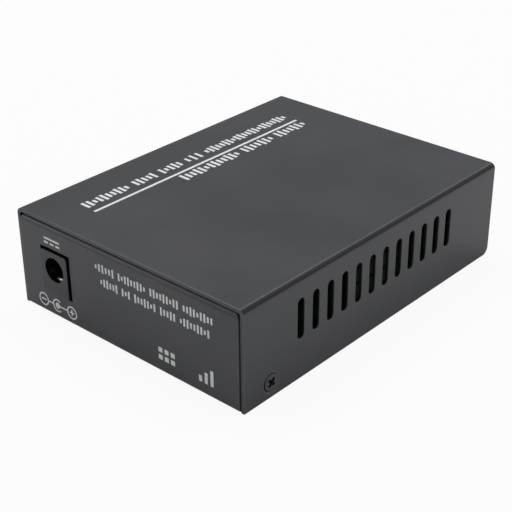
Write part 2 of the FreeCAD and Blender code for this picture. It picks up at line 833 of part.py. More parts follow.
def tongue_cuts():
    """Two slits that free the latch tongue, and the window that catches the module's latch."""
    zs = (board_top, board_top + cage_wall)
    ys = (cage_front, cage_front + tongue_length)
    slits = [box(centred(fibre_x + side * (tongue_width + tongue_slit) / 2, tongue_slit), ys, zs)
             for side in (-1, 1)]
    front = cage_front + tongue_window_inset
    corners = [V(fibre_x - tongue_window / 2, front, zs[0]), V(fibre_x + tongue_window / 2, front, zs[0]),
               V(fibre_x, front + tongue_window, zs[0]), V(fibre_x - tongue_window / 2, front, zs[0])]
    window = Part.Face(Part.makePolygon(corners)).extrude(V(0, 0, cage_wall))
    return slits + [window]


def finger_collar():
    """Spring fingers all round the cage's mouth, which earth it to the panel."""
    inner = finger_gap
    outer = finger_gap + finger_sheet
    middle_z = board_top + cage_height / 2
    ys = (cage_front, cage_front + finger_band)
    band = box(centred(fibre_x, cage_width + 2 * outer), ys, centred(middle_z, cage_height + 2 * outer))
    band = chamfer_edges(band, cage_edge + outer, lambda e: runs_along(e, 1))
    hole = box(centred(fibre_x, cage_width + 2 * inner), ys, centred(middle_z, cage_height + 2 * inner))
    hole = chamfer_edges(hole, cage_edge + inner, lambda e: runs_along(e, 1))
    fingers = []
    along_flat = (finger_flat_count, cage_height / 2)
    along_side = (finger_side_count, cage_width / 2)
    sides = (along_flat, along_side, along_flat, along_side)
    for turn, (count, half) in zip((0, 90, 180, 270), sides):
        for i in range(count):
            finger = spring_finger((i - (count - 1) / 2) * finger_pitch, half + finger_gap + finger_sheet / 2)
            finger.rotate(V(0, 0, 0), V(0, 1, 0), turn)
            finger.translate(V(fibre_x, 0, middle_z))
            fingers.append(finger)
    return fused([band.cut(hole)] + fingers)


def spring_finger(across, out):
    """One finger on the upper side: flat at the band, then bowed outwards and back."""
    path = [
        (cage_front, out),
        (cage_front + finger_band, out),
        (cage_front + finger_crest, out + finger_rise),
        (cage_front + finger_length, out),
    ]
    return creased(path, finger_sheet, across_x(across - finger_width / 2), V(finger_width, 0, 0))


def card_connector():
    """Moulded connector at the back of the cage, with the slot for the module's card."""
    block = box(centred(fibre_x, card_width), (card_front, card_back), (board_top, board_top + card_height))
    pegs = [hexagon(card_peg, V(x, y, board_under - card_peg_reach), board_sheet + card_peg_reach)
            for x, y in card_peg_places()]
    low, high = card_slot_range()
    slot = box(centred(fibre_x, card_slot_width), (card_front, card_front + card_slot_depth), (low, high))
    grooves = [box(centred(x, card_contact_slot), (card_front + card_contact_start, card_back),
                   (low - card_contact_sheet, high + card_contact_sheet)) for x in card_contact_xs()]
    return cut(fused([block] + pegs), [slot] + grooves)


def card_slot_range():
    """Height range of the card slot."""
    return (board_top + card_slot_floor, board_top + card_slot_floor + card_slot_height)


def card_peg_places():
    """Middles of the connector's two pegs."""
    return [(fibre_x + side * card_peg_spacing / 2, (card_front + card_back) / 2) for side in (-1, 1)]


def card_contact_xs():
    """The contacts' places across the connector."""
    return [fibre_x + (i - (card_contact_count - 1) / 2) * card_contact_pitch
            for i in range(card_contact_count)]


def card_contacts():
    """An upper and a lower row of strips, back out of the connector and down to the board."""
    low, high = card_slot_range()
    half = card_contact_sheet / 2
    start = card_front + card_contact_start
    strips = []
    for x in card_contact_xs():
        for z, back in ((low - half, card_row_near), (high + half, card_row_far)):
            down = card_back + back
            path = [(start, z), (down, z), (down, board_top)]
            strips.append(creased(path, card_contact_sheet, across_x(x - card_contact_width / 2),
                                  V(card_contact_width, 0, 0)))
    return Part.makeCompound(strips)


# ---------------------------------------------------------------- status lights


def light_column_xs():
    """The columns' places across the front."""
    return [(i - (light_column_count - 1) / 2) * light_pitch for i in range(light_column_count)]


def light_places():
    """Axes of the lights, column by column, the lower one first."""
    heights = (board_top + light_low, board_top + light_low + light_step)
    return [(x, z) for x in light_column_xs() for z in heights]


def light_lead_run(level):
    """How far behind a light its leads turn down: the upper light's pass behind the lower one's."""
    return light_back + light_lead_low_run + level * light_lead_step


def light_lead_places():
    """Board holes of the lights' leads."""
    return [(x + side * light_lead_spacing / 2, light_lead_run(level))
            for x in light_column_xs() for level in (0, 1) for side in (-1, 1)]


def status_light(x, z, level):
    """A round light with two leads."""
    body = flat_sided_rod(x, light_tip, z, light_diameter / 2, light_length)
    leads = []
    for side in (-1, 1):
        lead_x = x + side * light_lead_spacing / 2
        turn = light_lead_run(level)
        path = [(light_back, z), (turn, z), (turn, board_under - light_lead_reach)]
        leads.append(creased(path, light_lead, across_x(lead_x - light_lead / 2), V(light_lead, 0, 0)))
    return fused([body] + leads)


def light_spacer(x):
    """The moulded block behind one column of lights, with a hole for each lead."""
    ys = (light_back, light_back + spacer_length)
    block = box(centred(x, spacer_width), ys, (board_top, board_top + spacer_height))
    size = light_lead + 2 * light_lead_gap
    holes = [box(centred(x + side * light_lead_spacing / 2, size), ys, centred(z, size))
             for z in (board_top + light_low, board_top + light_low + light_step) for side in (-1, 1)]
    return cut(block, holes)


# ---------------------------------------------------------------- board components


def on_board(place, size, lift=0.0):
    """A block of this size, standing on the board with its middle at place."""
    low = board_top + lift
    return box(centred(place[0], size[0]), centred(place[1], size[1]), (low, low + size[2]))


def wing_leads(place, body, count, pitch, out):
    """Leads along the two long sides of a chip, out and down to the board."""
    inner = body[1] / 2 - lead_sheet
    height = board_top + body[2] / 2
    leads = []
    for i in range(count):
        x = place[0] + (i - (count - 1) / 2) * pitch
        for side in (-1, 1):
            turn = place[1] + side * (body[1] / 2 + out)
            path = [(place[1] + side * inner, height), (turn, height), (turn, board_top)]
            leads.append(creased(path, lead_sheet, across_x(x - lead_width / 2), V(lead_width, 0, 0)))
    return leads


def network_transformer():
    """Moulded transformer block with its rows of leads."""
    body = on_board(transformer_place, transformer_body)
    leads = wing_leads(transformer_place, transformer_body, transformer_leads, transformer_lead_pitch,
                       transformer_lead_out)
    return fused([body] + leads)


def flat_chip(place, side):
    """Square leadless chip."""
    return on_board(place, (side, side, flat_chip_height))


def small_chip(place):
    """Eight-legged chip."""
    body = on_board(place, small_chip_body)
    leads = wing_leads(place, small_chip_body, small_chip_leads, small_chip_pitch, small_chip_lead_out)
    return fused([body] + leads)


def power_inductor():
    """Square shielded inductor with cut corners."""
    body = on_board(inductor_place, (inductor_side, inductor_side, inductor_height))
    return chamfer_edges(body, inductor_corner, lambda e: runs_along(e, 2))


def can_capacitor(place, diameter, height):
    """Aluminium can on a square base."""
    side = diameter + 2 * can_base_margin
    base = on_board(place, (side, side, can_base_height))
    can = rod(V(place[0], place[1], board_top + can_base_height), V(0, 0, 1), diameter / 2,
              height - can_base_height)
    return fused([base, can])


def input_diode():
    """Moulded diode with a terminal folded under each end."""
    body = on_board(diode_place, diode_body)
    ends = []
    for side in (-1, 1):
        x = diode_place[0] + side * (diode_body[0] + diode_terminal[0]) / 2
        ends.append(on_board((x, diode_place[1]), diode_terminal))
    return fused([body] + ends)


def clock_crystal():
    """Long can with cut ends on its base."""
    base = on_board(crystal_place, crystal_base)
    can = on_board(crystal_place, (crystal_body[0], crystal_body[1], crystal_body[2] - crystal_base[2]),
                   crystal_base[2])
    can = chamfer_edges(can, crystal_corner, lambda e: runs_along(e, 2))
    return fused([base, can])


def chip_parts(rows, height):
    """Rows of small two-ended parts."""
    return Part.makeCompound([
        on_board((x, y + i * chip_row_pitch), (chip_part[0], chip_part[1], height))
        for x, y in rows for i in range(chip_row_count)])


# ---------------------------------------------------------------- the pieces, one file each

pieces = {
    "top_cover": top_cover(),
    "base_tray": base_tray(),
    "cover_screws": cover_screws(),
    "board_standoffs": board_standoffs(),
    "board_screws": board_screws(),
    "main_board": main_board(),
    "power_inlet_body": inlet_body(),
    "power_inlet_pin": inlet_pin(),
    "power_inlet_leaf": inlet_leaf(),
    "power_inlet_side_terminal": inlet_side_terminal(),
    "copper_port_shield": copper_shield(),
    "copper_port_housing": copper_housing(),
    "copper_port_contacts": copper_contacts(),
    "fibre_port_cage": module_cage(),
    "fibre_port_collar": finger_collar(),
    "fibre_port_connector": card_connector(),
    "fibre_port_contacts": card_contacts(),
    "network_transformer": network_transformer(),
    "converter_chip": flat_chip(converter_place, converter_side),
    "line_chip": flat_chip(line_chip_place, line_chip_side),
    "memory_chip": small_chip(memory_place),
    "voltage_regulator": small_chip(regulator_place),
    "power_inductor": power_inductor(),
    "input_capacitor": can_capacitor(input_capacitor_place, input_capacitor_diameter,
                                     input_capacitor_height),
    "output_capacitor": can_capacitor(output_capacitor_place, output_capacitor_diameter,
                                      output_capacitor_height),
    "input_diode": input_diode(),
    "clock_crystal": clock_crystal(),
    "chip_resistors": chip_parts(resistor_rows, chip_resistor_height),
    "chip_capacitors": chip_parts(capacitor_rows, chip_capacitor_height),
}
for i, x in enumerate(light_column_xs()):
    pieces["light_spacer_%d" % (i + 1)] = light_spacer(x)
for i, (x, z) in enumerate(light_places()):
    pieces["status_light_%d" % (i + 1)] = status_light(x, z, i % 2)

os.makedirs("parts", exist_ok=True)
for name, shape in pieces.items():
    shape.exportStep("parts/%s.step" % name)
    print("%-28s %2d solids  %9.2f mm3  %s" % (name, len(shape.Solids), shape.Volume,
                                             "ok" if shape.isValid() else "NOT VALID"))
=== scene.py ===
# %% [markdown]
# # A fibre media converter in a folded steel case
#
# A media converter joins a copper network line to a glass fibre. It is a small
# circuit board in a steel case that is folded from two sheets and coated with
# powder. The CAD model brings every solid to its place. These cells give each
# visible surface its real finish, and rebuild as smoother meshes the pieces whose
# edges, wires and lenses catch the light.

import bmesh
import bpy
import math
from mathutils import Matrix, Vector


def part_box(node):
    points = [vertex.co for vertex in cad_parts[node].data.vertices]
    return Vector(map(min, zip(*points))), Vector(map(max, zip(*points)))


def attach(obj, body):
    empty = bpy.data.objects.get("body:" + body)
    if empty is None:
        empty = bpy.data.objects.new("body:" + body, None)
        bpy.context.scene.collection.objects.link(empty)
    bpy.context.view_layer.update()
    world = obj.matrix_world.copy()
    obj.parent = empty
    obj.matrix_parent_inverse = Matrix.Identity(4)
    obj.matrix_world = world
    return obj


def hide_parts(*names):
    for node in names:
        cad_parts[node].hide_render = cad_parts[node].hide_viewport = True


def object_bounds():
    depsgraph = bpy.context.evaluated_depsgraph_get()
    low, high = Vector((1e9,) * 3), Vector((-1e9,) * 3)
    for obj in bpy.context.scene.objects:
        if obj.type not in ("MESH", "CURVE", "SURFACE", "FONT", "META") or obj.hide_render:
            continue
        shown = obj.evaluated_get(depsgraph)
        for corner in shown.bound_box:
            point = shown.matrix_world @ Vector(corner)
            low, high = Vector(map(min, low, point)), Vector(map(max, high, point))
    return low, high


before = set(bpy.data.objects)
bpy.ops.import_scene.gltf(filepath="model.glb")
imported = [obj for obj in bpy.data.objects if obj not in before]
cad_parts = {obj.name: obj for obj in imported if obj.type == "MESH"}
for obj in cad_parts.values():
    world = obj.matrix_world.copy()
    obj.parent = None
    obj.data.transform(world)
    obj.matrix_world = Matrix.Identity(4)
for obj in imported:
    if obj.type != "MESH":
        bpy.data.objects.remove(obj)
cad_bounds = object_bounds()
MM = 0.001
case_low, case_high = (Vector(corner) for corner in cad_bounds)
middle = (case_low + case_high) / 2
bpy.context.scene.view_settings.view_transform = "Standard"
print("case, mm:", [round(side / MM, 2) for side in case_high - case_low])

# %% [markdown]
# ## The camera
#
# A product camera stands well back with a long lens, so that the case's edges stay
# nearly parallel. Its place is given as a photographer would say it: how far round,
# how high, how far away, and what it aims at. It is rolled by less than half a
# degree, as a hand-set tripod is.

# %% Camera
CAMERA_ROUND = 131.878  # degrees from +X towards +Y
CAMERA_RISE = 28.88  # degrees above the floor
CAMERA_ROLL = -0.416  # degrees about its own axis
CAMERA_DISTANCE = 306.9 * MM
CAMERA_LENS = 85.69  # mm, a long lens
aim = middle + Vector((3.156, -0.405, -8.394)) * MM


def direction(turn, rise):
    """The unit vector that points this far round and this far up, in degrees."""
    turn, rise = math.radians(turn), math.radians(rise)
    level = math.cos(rise)
    return Vector((level * math.cos(turn), level * math.sin(turn), math.sin(rise)))


def facing(place, target, roll=0.0):
    """The matrix of a camera or lamp at place that looks at target."""
    turn = (target - place).to_track_quat("-Z", "Y").to_matrix().to_4x4()
    return Matrix.Translation(place) @ turn @ Matrix.Rotation(math.radians(roll), 4, "Z")


def placed(name, data):
    """A new object with this data, linked into the scene."""
    made = bpy.data.objects.new(name, data)
    bpy.context.scene.collection.objects.link(made)
    return made


camera = placed("camera", bpy.data.cameras.new("camera"))
camera.data.lens = CAMERA_LENS
camera.data.clip_start = 0.01
camera_spot = aim + direction(CAMERA_ROUND, CAMERA_RISE) * CAMERA_DISTANCE
camera.matrix_world = facing(camera_spot, aim, CAMERA_ROLL)
bpy.context.scene.camera = camera
print("camera at, mm:", [round(c / MM, 1) for c in camera.matrix_world.translation])

# %% [markdown]
# ## Building materials by hand
#
# Each finish is a tree of shader nodes. One function adds a node with its settings
# and its links, and one turns a written colour into the linear light that the
# shader works in. Patterns read Object coordinates in metres, so a pattern's scale
# is one divided by the real size of its grain.


# %% Material helpers
def colour(written):
    """A written sRGB colour such as "4a4c50", as linear red, green, blue and alpha."""
    parts = [int(written[i : i + 2], 16) / 255 for i in (0, 2, 4)]
    linear = [p / 12.92 if p <= 0.04045 else ((p + 0.055) / 1.055) ** 2.4 for p in parts]
    return (*linear, 1.0)


def add(tree, kind, links=None, **settings):
    """Add a node: settings are its own, links fill its inputs with values or other outputs."""
    made = tree.nodes.new(kind)
    for name, value in settings.items():
        setattr(made, name, value)
    for name, value in (links or {}).items():
        if isinstance(value, bpy.types.NodeSocket):
            tree.links.new(value, made.inputs[name])
        else:
            made.inputs[name].default_value = value
    return made


def start_finish(name, shown, **shader_values):
    """A material, its tree, its shader and the Object coordinates that its patterns read."""
    material = bpy.data.materials.new(name)
    material.use_nodes = True
    material.diffuse_color = colour(shown)
    tree = material.node_tree
    shader = tree.nodes["Principled BSDF"]
    shader.inputs["Base Color"].default_value = colour(shown)
    for socket, value in shader_values.items():
        shader.inputs[socket.replace("_", " ")].default_value = value
    place = add(tree, "ShaderNodeTexCoord").outputs["Object"]
    print("finish:", name)
    return material, tree, shader, place


def noise(tree, place, size_mm, detail=2.0, rough=0.5):
    """A cloudy pattern whose blobs are about size_mm across, from 0 to 1."""
    values = {"Vector": place, "Scale": 1 / (size_mm * MM), "Detail": detail, "Roughness": rough}
    return add(tree, "ShaderNodeTexNoise", values).outputs["Fac"]


def between(tree, fac, low, high, low_out, high_out):
    """Stretch a pattern so that low to high becomes low_out to high_out."""
    values = {
        "Value": fac, "From Min": low, "From Max": high, "To Min": low_out, "To Max": high_out
    }
    return add(tree, "ShaderNodeMapRange", values).outputs["Result"]


def maths(tree, operation, *values):
    """What a Math node makes of its values."""
    made = add(tree, "ShaderNodeMath", dict(enumerate(values)), operation=operation)
    return made.outputs[0]


def blend_colours(tree, fac, first, second):
    """A colour between two: each is a written colour or another node's colour."""
    values = {"Factor": fac}
    made = add(tree, "ShaderNodeMix", values, data_type="RGBA")
    for index, value in ((6, first), (7, second)):
        if isinstance(value, str):
            made.inputs[index].default_value = colour(value)
        else:
            tree.links.new(value, made.inputs[index])
    return made.outputs[2]


def bumped(tree, shader, height, depth_mm, under=None, strength=1.0):
    """Raise the surface by a pattern, depth_mm deep, over another bump if one is given."""
    values = {"Height": height, "Distance": depth_mm * MM, "Strength": strength}
    if under is not None:
        values["Normal"] = under
    bump = add(tree, "ShaderNodeBump", values).outputs["Normal"]
    tree.links.new(bump, shader.inputs["Normal"])
    return bump


# %% [markdown]
# ## Powder-coated steel
#
# The case is cold-rolled sheet, sprayed with charcoal polyester powder and baked.
# The melted powder settles into a faint orange peel, about a millimetre from crest
# to crest, with a finer grain on top, so its shine is soft. Where the spray fell
# thicker the coat is a little paler and less glossy, in clouds of some centimetres.
# On a bend or a cut edge it draws thin, and there it is paler: partly the thin coat,
# partly a painted highlight for the light that a rolled edge catches. The rounded
# copies of the sheets carry an attribute that says where the edges are.

# %% Powder coat
PEEL, GRAIN, CLOUD = 1.1, 0.4, 22.0  # mm across
powder_coat, tree, shader, place = start_finish(
    "polyester_powder_coat", "45474a", Roughness=0.32, IOR=1.5, Specular_IOR_Level=0.5
)
peel = noise(tree, place, PEEL, detail=2.0)
grain = noise(tree, place, GRAIN, detail=1.0)
cloud = noise(tree, place, CLOUD, detail=3.0)
edge = add(tree, "ShaderNodeAttribute", attribute_name="edge").outputs["Fac"]
tone = blend_colours(tree, between(tree, cloud, 0.35, 0.65, 0.0, 1.0), "424447", "48494d")
tone = blend_colours(tree, between(tree, grain, 0.45, 0.75, 0.0, 0.3), tone, "505256")
# Paler rolled edges: partly the thin coat, partly a painted highlight.
tone = blend_colours(tree, between(tree, edge, 0.0, 1.0, 0.0, 0.6), tone, "5e6064")
tree.links.new(tone, shader.inputs["Base Color"])
tree.links.new(between(tree, cloud, 0.3, 0.7, 0.29, 0.34), shader.inputs["Roughness"])
peel_bump = bumped(tree, shader, peel, 0.008)
bumped(tree, shader, grain, 0.0015, under=peel_bump)

# %% [markdown]
# ## Screen-printing ink
#
# The markings are a thin film of pale epoxy ink, pressed through a mesh. It is
# matt, slightly uneven, and the powder's grain leaves a few pinholes in it.

# %% Ink
ink, tree, shader, place = start_finish("screen_print_ink", "eef0f1", Roughness=0.6, IOR=1.48)
speck = noise(tree, place, 0.22, detail=1.0)
wash = noise(tree, place, 3.0, detail=2.0)
tone = blend_colours(tree, between(tree, wash, 0.3, 0.7, 0.0, 1.0), "e8eaeb", "f3f4f5")
tone = blend_colours(tree, between(tree, speck, 0.68, 0.74, 0.0, 0.7), tone, "7d8084")
tree.links.new(tone, shader.inputs["Base Color"])
bumped(tree, shader, speck, 0.003)

# %% [markdown]
# ## Black screws
#
# The case screws are steel, blackened in a hot bath. On the turned face of the head
# the skin is thin, and steel shines softly through it. In the pressed cross and
# under the head the faces are painted plain black, as shade.

# %% Blackened steel
black_steel, tree, shader, place = start_finish(
    "blackened_steel", "5a5b5e", Metallic=0.55, Roughness=0.4
)
patch = noise(tree, place, 0.7, detail=3.0)
tone = blend_colours(tree, between(tree, patch, 0.35, 0.7, 0.0, 1.0), "545558", "626367")
tree.links.new(tone, shader.inputs["Base Color"])
tree.links.new(between(tree, patch, 0.3, 0.7, 0.34, 0.48), shader.inputs["Roughness"])
bumped(tree, shader, noise(tree, place, 0.12, detail=1.0), 0.003)

screw_painted_shade, tree, shader, place = start_finish(
    "screw_shade_black", "0c0c0d", Roughness=0.55, IOR=1.5
)
crumb = noise(tree, place, 0.2, detail=2.0)
tree.links.new(blend_colours(tree, crumb, "09090a", "151516"), shader.inputs["Base Color"])
bumped(tree, shader, crumb, 0.004)

# %% [markdown]
# ## Bright metals
#
# The socket shield and the module cage are thin strip, rolled and then plated with
# tin or nickel. Rolling leaves fine lines along the strip, far longer than they are
# wide, which a noise pattern gives when it is squeezed in one direction. The
# contacts have a flash of gold over nickel.


# %% Plated strip and contacts
def rolled_metal(name, pale, dull, roughness, along, line_mm=0.09):
    """A metal finish with fine rolling lines along one axis (0, 1 or 2)."""
    material, tree, shader, place = start_finish(name, pale, Metallic=1.0, Roughness=roughness)
    stretch = [1.0, 1.0, 1.0]
    stretch[along] = 0.04  # each line is 25 times as long as it is wide
    lined = add(tree, "ShaderNodeMapping", {"Vector": place, "Scale": stretch}).outputs["Vector"]
    lines = noise(tree, lined, line_mm, detail=1.0)
    stain = noise(tree, place, 4.0, detail=3.0)
    tone = blend_colours(tree, between(tree, stain, 0.4, 0.7, 0.0, 1.0), pale, dull)
    tree.links.new(tone, shader.inputs["Base Color"])
    rough = between(tree, lines, 0.3, 0.7, roughness - 0.06, roughness + 0.06)
    tree.links.new(rough, shader.inputs["Roughness"])
    bumped(tree, shader, lines, 0.002)
    return material


tin_plate = rolled_metal("tin_plated_strip", "c9c8c2", "b3b1aa", 0.3, along=1)
spring_steel = rolled_metal("nickel_plated_spring_strip", "c4c1b8", "a9a69c", 0.26, along=1)
zinc_plate = rolled_metal("zinc_plated_steel", "b7b9bb", "9b9da0", 0.38, along=2)
gold_flash = rolled_metal("gold_flashed_bronze", "d9b56a", "c49c50", 0.24, along=1)
nickel_pin = rolled_metal("nickel_plated_brass", "cfcabd", "b9b4a6", 0.18, along=1)
can_sleeve = rolled_metal("drawn_aluminium_can", "c6c8ca", "b0b2b5", 0.3, along=2)

# %% [markdown]
# ## Moulded plastics
#
# The inlet, the socket's housing and the light spacers are glass-filled nylon or
# polyester, moulded in a spark-eroded tool, which leaves an even matt grain. The
# inlet's bore is smooth, and it and the moulding behind the panel are painted near
# black, as shade. The chips are epoxy with a silica filler: darker, and finer in grain.


# %% Mouldings
def moulded(name, dark, pale, roughness, grain_mm, depth_mm):
    """A matt plastic with the even grain of its tool."""
    material, tree, shader, place = start_finish(name, dark, Roughness=roughness, IOR=1.53)
    grain = noise(tree, place, grain_mm, detail=2.0)
    flow = noise(tree, place, 5.0, detail=2.0)
    tone = blend_colours(tree, between(tree, flow, 0.35, 0.65, 0.0, 0.6), dark, pale)
    tone = blend_colours(tree, between(tree, grain, 0.5, 0.8, 0.0, 0.35), tone, pale)
    tree.links.new(tone, shader.inputs["Base Color"])
    rough = between(tree, grain, 0.3, 0.7, roughness - 0.05, roughness + 0.07)
    tree.links.new(rough, shader.inputs["Roughness"])
    bumped(tree, shader, grain, depth_mm)
    return material


inlet_plastic = moulded("glass_filled_nylon", "36383b", "434548", 0.42, 0.14, 0.005)
bore_painted_shade = moulded("nylon_painted_dark_as_shade", "0a0a0b", "131314", 0.3, 0.3, 0.002)
socket_plastic = moulded("polyester_moulding", "1d1e20", "2b2c2e", 0.45, 0.14, 0.005)
chip_epoxy = moulded("silica_filled_epoxy", "242427", "37373a", 0.6, 0.1, 0.004)
ferrite = moulded("pressed_ferrite", "3b3b3e", "4b4b4e", 0.65, 0.25, 0.01)
chip_ceramic = moulded("fired_ceramic", "8a6f4f", "a88a64", 0.5, 0.1, 0.003)

# %% [markdown]
# ## The circuit board
#
# Glass-fibre board under green solder mask, whose green is painted darker than its
# own, as shade inside the case. Copper tracks show through the mask as a slightly
# paler, raised net, which a brick pattern gives: long runs that step sideways, as
# routed tracks do. Bare pads are tinned.

# %% Solder mask
TRACK_RUN, VIA_PITCH = 9.0, 4.2  # mm
# The mask's green is darker than its own: painted shade inside the case.
solder_mask_painted_darker, tree, shader, place = start_finish(
    "green_mask_painted_darker", "10301d", Roughness=0.35, IOR=1.5
)
turned = add(tree, "ShaderNodeMapping", {"Vector": place, "Rotation": (0, 0, math.radians(45))})
tracks = add(
    tree, "ShaderNodeTexBrick",
    {"Vector": turned.outputs["Vector"], "Scale": 1 / (TRACK_RUN * MM), "Mortar Size": 0.035,
     "Brick Width": 1.4, "Row Height": 0.22},
).outputs["Fac"]
vias = add(
    tree, "ShaderNodeTexVoronoi", {"Vector": place, "Scale": 1 / (VIA_PITCH * MM)}
).outputs["Distance"]
tone = blend_colours(tree, tracks, "0f2e1b", "174527")
tone = blend_colours(tree, between(tree, vias, 0.1, 0.12, 1.0, 0.0), tone, "8d8a7c")
tree.links.new(tone, shader.inputs["Base Color"])
bumped(tree, shader, tracks, 0.02)

# %% [markdown]
# ## Lenses
#
# The status lights are epoxy, cast with a little dye. Unlit, they are cloudy: light
# goes in and comes out again tinted, so the shader passes some of it through.


# %% Tinted epoxy
def tinted_epoxy(name, deep, pale):
    """Dyed epoxy that lets part of the light through."""
    material, tree, shader, place = start_finish(
        name, pale, Roughness=0.12, IOR=1.54, Transmission_Weight=0.45, Coat_Weight=0.3
    )
    haze = noise(tree, place, 1.2, detail=2.0)
    tree.links.new(blend_colours(tree, haze, deep, pale), shader.inputs["Base Color"])
    bumped(tree, shader, noise(tree, place, 0.8, detail=1.0), 0.004)
    return material


green_lens = tinted_epoxy("green_tinted_epoxy", "2f8f3f", "58b45f")
red_lens = tinted_epoxy("red_tinted_epoxy", "a81f1c", "d24a3e")

# %% [markdown]
# ## Rounding the CAD's edges
#
# A CAD edge is perfectly sharp, and a perfectly sharp edge never catches light. A
# real sheet has a rolled edge with paint round it. The function below welds a copy
# of a CAD piece, joins its flat triangles into whole faces, and rolls over every
# sharp edge by a real radius. The new strips are marked in an attribute, so that a
# finish can be paler there: a thinner coat, and a painted highlight. The CAD piece
# itself stays as it is, hidden.


# %% Rounded copies
def add_piece(name, mesh, finish, slot, *replaced):
    """Put a mesh into the scene as a piece of the object with its finish."""
    piece = placed(name, mesh)
    mesh.materials.clear()
    mesh.materials.append(finish)
    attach(piece, "root")
    if replaced:
        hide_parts(*replaced)
    return piece


def welded(cad_name):
    """A bmesh of a CAD node, with its loose triangles joined into whole faces."""
    shape = bmesh.new()
    shape.from_mesh(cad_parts[cad_name].data)
    bmesh.ops.remove_doubles(shape, verts=shape.verts, dist=0.0005 * MM)
    bmesh.ops.dissolve_limit(
        shape, angle_limit=math.radians(0.5), verts=shape.verts, edges=shape.edges
    )
    return shape


def roll_edges(shape, radius_mm, sharper_than=32, steps=2):
    """Round every edge that turns more than sharper_than degrees, and mark the new strips."""
    least = math.radians(sharper_than)
    sharp = [e for e in shape.edges if e.is_manifold and e.calc_face_angle(0) > least]
    bmesh.ops.bevel(
        shape, geom=sharp, offset=radius_mm * MM, offset_type="OFFSET", segments=steps, profile=0.5,
        affect="EDGES", clamp_overlap=False, material=1,
    )
    mark = shape.faces.layers.float.new("edge")
    for face in shape.faces:
        face[mark] = float(face.material_index == 1)
        face.material_index = 0


def mesh_from(name, shape):
    """Turn a bmesh into a mesh."""
    mesh = bpy.data.meshes.new(name)
    shape.to_mesh(mesh)
    shape.free()
    return mesh


def smoothed(mesh, below):
    """Shade a mesh smooth wherever it turns by less than below degrees."""
    for polygon in mesh.polygons:
        polygon.use_smooth = True
    mesh.set_sharp_from_angle(angle=math.radians(below))
    return mesh


def evaluated_mesh(holder):
    """The plain mesh that an object's modifiers make."""
    bpy.context.view_layer.update()
    seen = holder.evaluated_get(bpy.context.evaluated_depsgraph_get())
    return bpy.data.meshes.new_from_object(seen)


def rounded_piece(name, cad_name, radius_mm, finish, slot):
    """A CAD node, edge-rolled and finished, standing for that node."""
    shape = welded(cad_name)
    roll_edges(shape, radius_mm)
    piece = add_piece(name, smoothed(mesh_from(name, shape), 40), finish, slot, cad_name)
    # Normals weighted by area keep the large faces flat beside their rolled edges.
    piece.modifiers.new("flat faces", "WEIGHTED_NORMAL").keep_sharp = True
    piece.data = evaluated_mesh(piece)
    piece.modifiers.clear()
    print(name, "faces:", len(piece.data.polygons))
    return piece


# %% [markdown]
# ## The case
#
# The cover and the tray keep the CAD's folds, slots and cut-outs. The cut edges of
# one-millimetre sheet roll over by about a fifth of a millimetre under the coat.

# %% Cover and tray
cover = rounded_piece("cover_sheet", "top_cover", 0.22, powder_coat, "powder_coat")
tray = rounded_piece("tray_sheet", "base_tray", 0.18, powder_coat, "powder_coat")
cover_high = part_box("top_cover")[1]
rear_plane = max(vertex.co.y for vertex in tray.data.vertices)
print("roof at, mm:", round(cover_high.z / MM, 2), "rear at:", round(rear_plane / MM, 2))

# %% [markdown]
# ## Painted shade in the vents
#
# The inner faces of the cover, the walls of its slots and the cut walls of the
# openings are painted near black, as shade, so that the vents look dark. The faces
# are picked by their place, and get a second material.

# %% Painted shade on the inner faces and the walls of the openings
vent_painted_shade, tree, shader, place = start_finish("black_painted_shade", "0e0f11", Roughness=0.6, IOR=1.5)
shade_mottle = noise(tree, place, 0.6, detail=3.0)
tone = blend_colours(tree, between(tree, shade_mottle, 0.4, 0.75, 0.0, 1.0), "0c0d0f", "1b1c1e")
tree.links.new(tone, shader.inputs["Base Color"])
bumped(tree, shader, shade_mottle, 0.006)


def refinish(piece, finish, chosen):
    """Give another finish to the faces that chosen(middle, normal) picks."""
    piece.data.materials.append(finish)
    found = [p for p in piece.data.polygons if chosen(p.center, p.normal)]
    for polygon in found:
        polygon.material_index = len(piece.data.materials) - 1
    print(piece.name, "faces in", finish.name + ":", len(found))


SKIN, RIM = 0.15 * MM, 0.3 * MM  # how deep the outside goes, and the cut edges that stay coated
SCREW_ALONG, SCREW_UP = 14 * MM, 8 * MM  # the corner round the screw, from the rear rim and floor
PANEL_LOW, PANEL_HIGH, PANEL_SIDE = 1.5 * MM, 20 * MM, 33 * MM  # the rear panel inside its bends


def inside_cover(spot, normal):
    """Inner faces of the cover, and the walls of its slots."""
    deep = min(cover_high.x - abs(spot.x), cover_high.z - spot.z) > SKIN
    at_rim = abs(spot.y) > cover_high.y - RIM or spot.z < RIM
    near_screw = spot.z < SCREW_UP and abs(spot.y - cover_high.y) < SCREW_ALONG
    return deep and not at_rim and not near_screw


def opening_walls(spot, normal):
    """The cut walls of the openings in the rear panel, which is a millimetre thick."""
    in_sheet = 0.08 * MM < rear_plane - spot.y < 1.1 * MM
    in_panel = PANEL_LOW < spot.z < PANEL_HIGH and abs(spot.x) < PANEL_SIDE
    return in_sheet and in_panel and abs(normal.y) < 0.3


# Painted shade: the cover's inner faces and the walls of the openings are near black.
refinish(cover, vent_painted_shade, inside_cover)
refinish(tray, vent_painted_shade, opening_walls)

# %% [markdown]
# ## Finishes on the CAD pieces that stay
#
# Inside the case the CAD's own solids are shown. Each gets the finish of its slot.

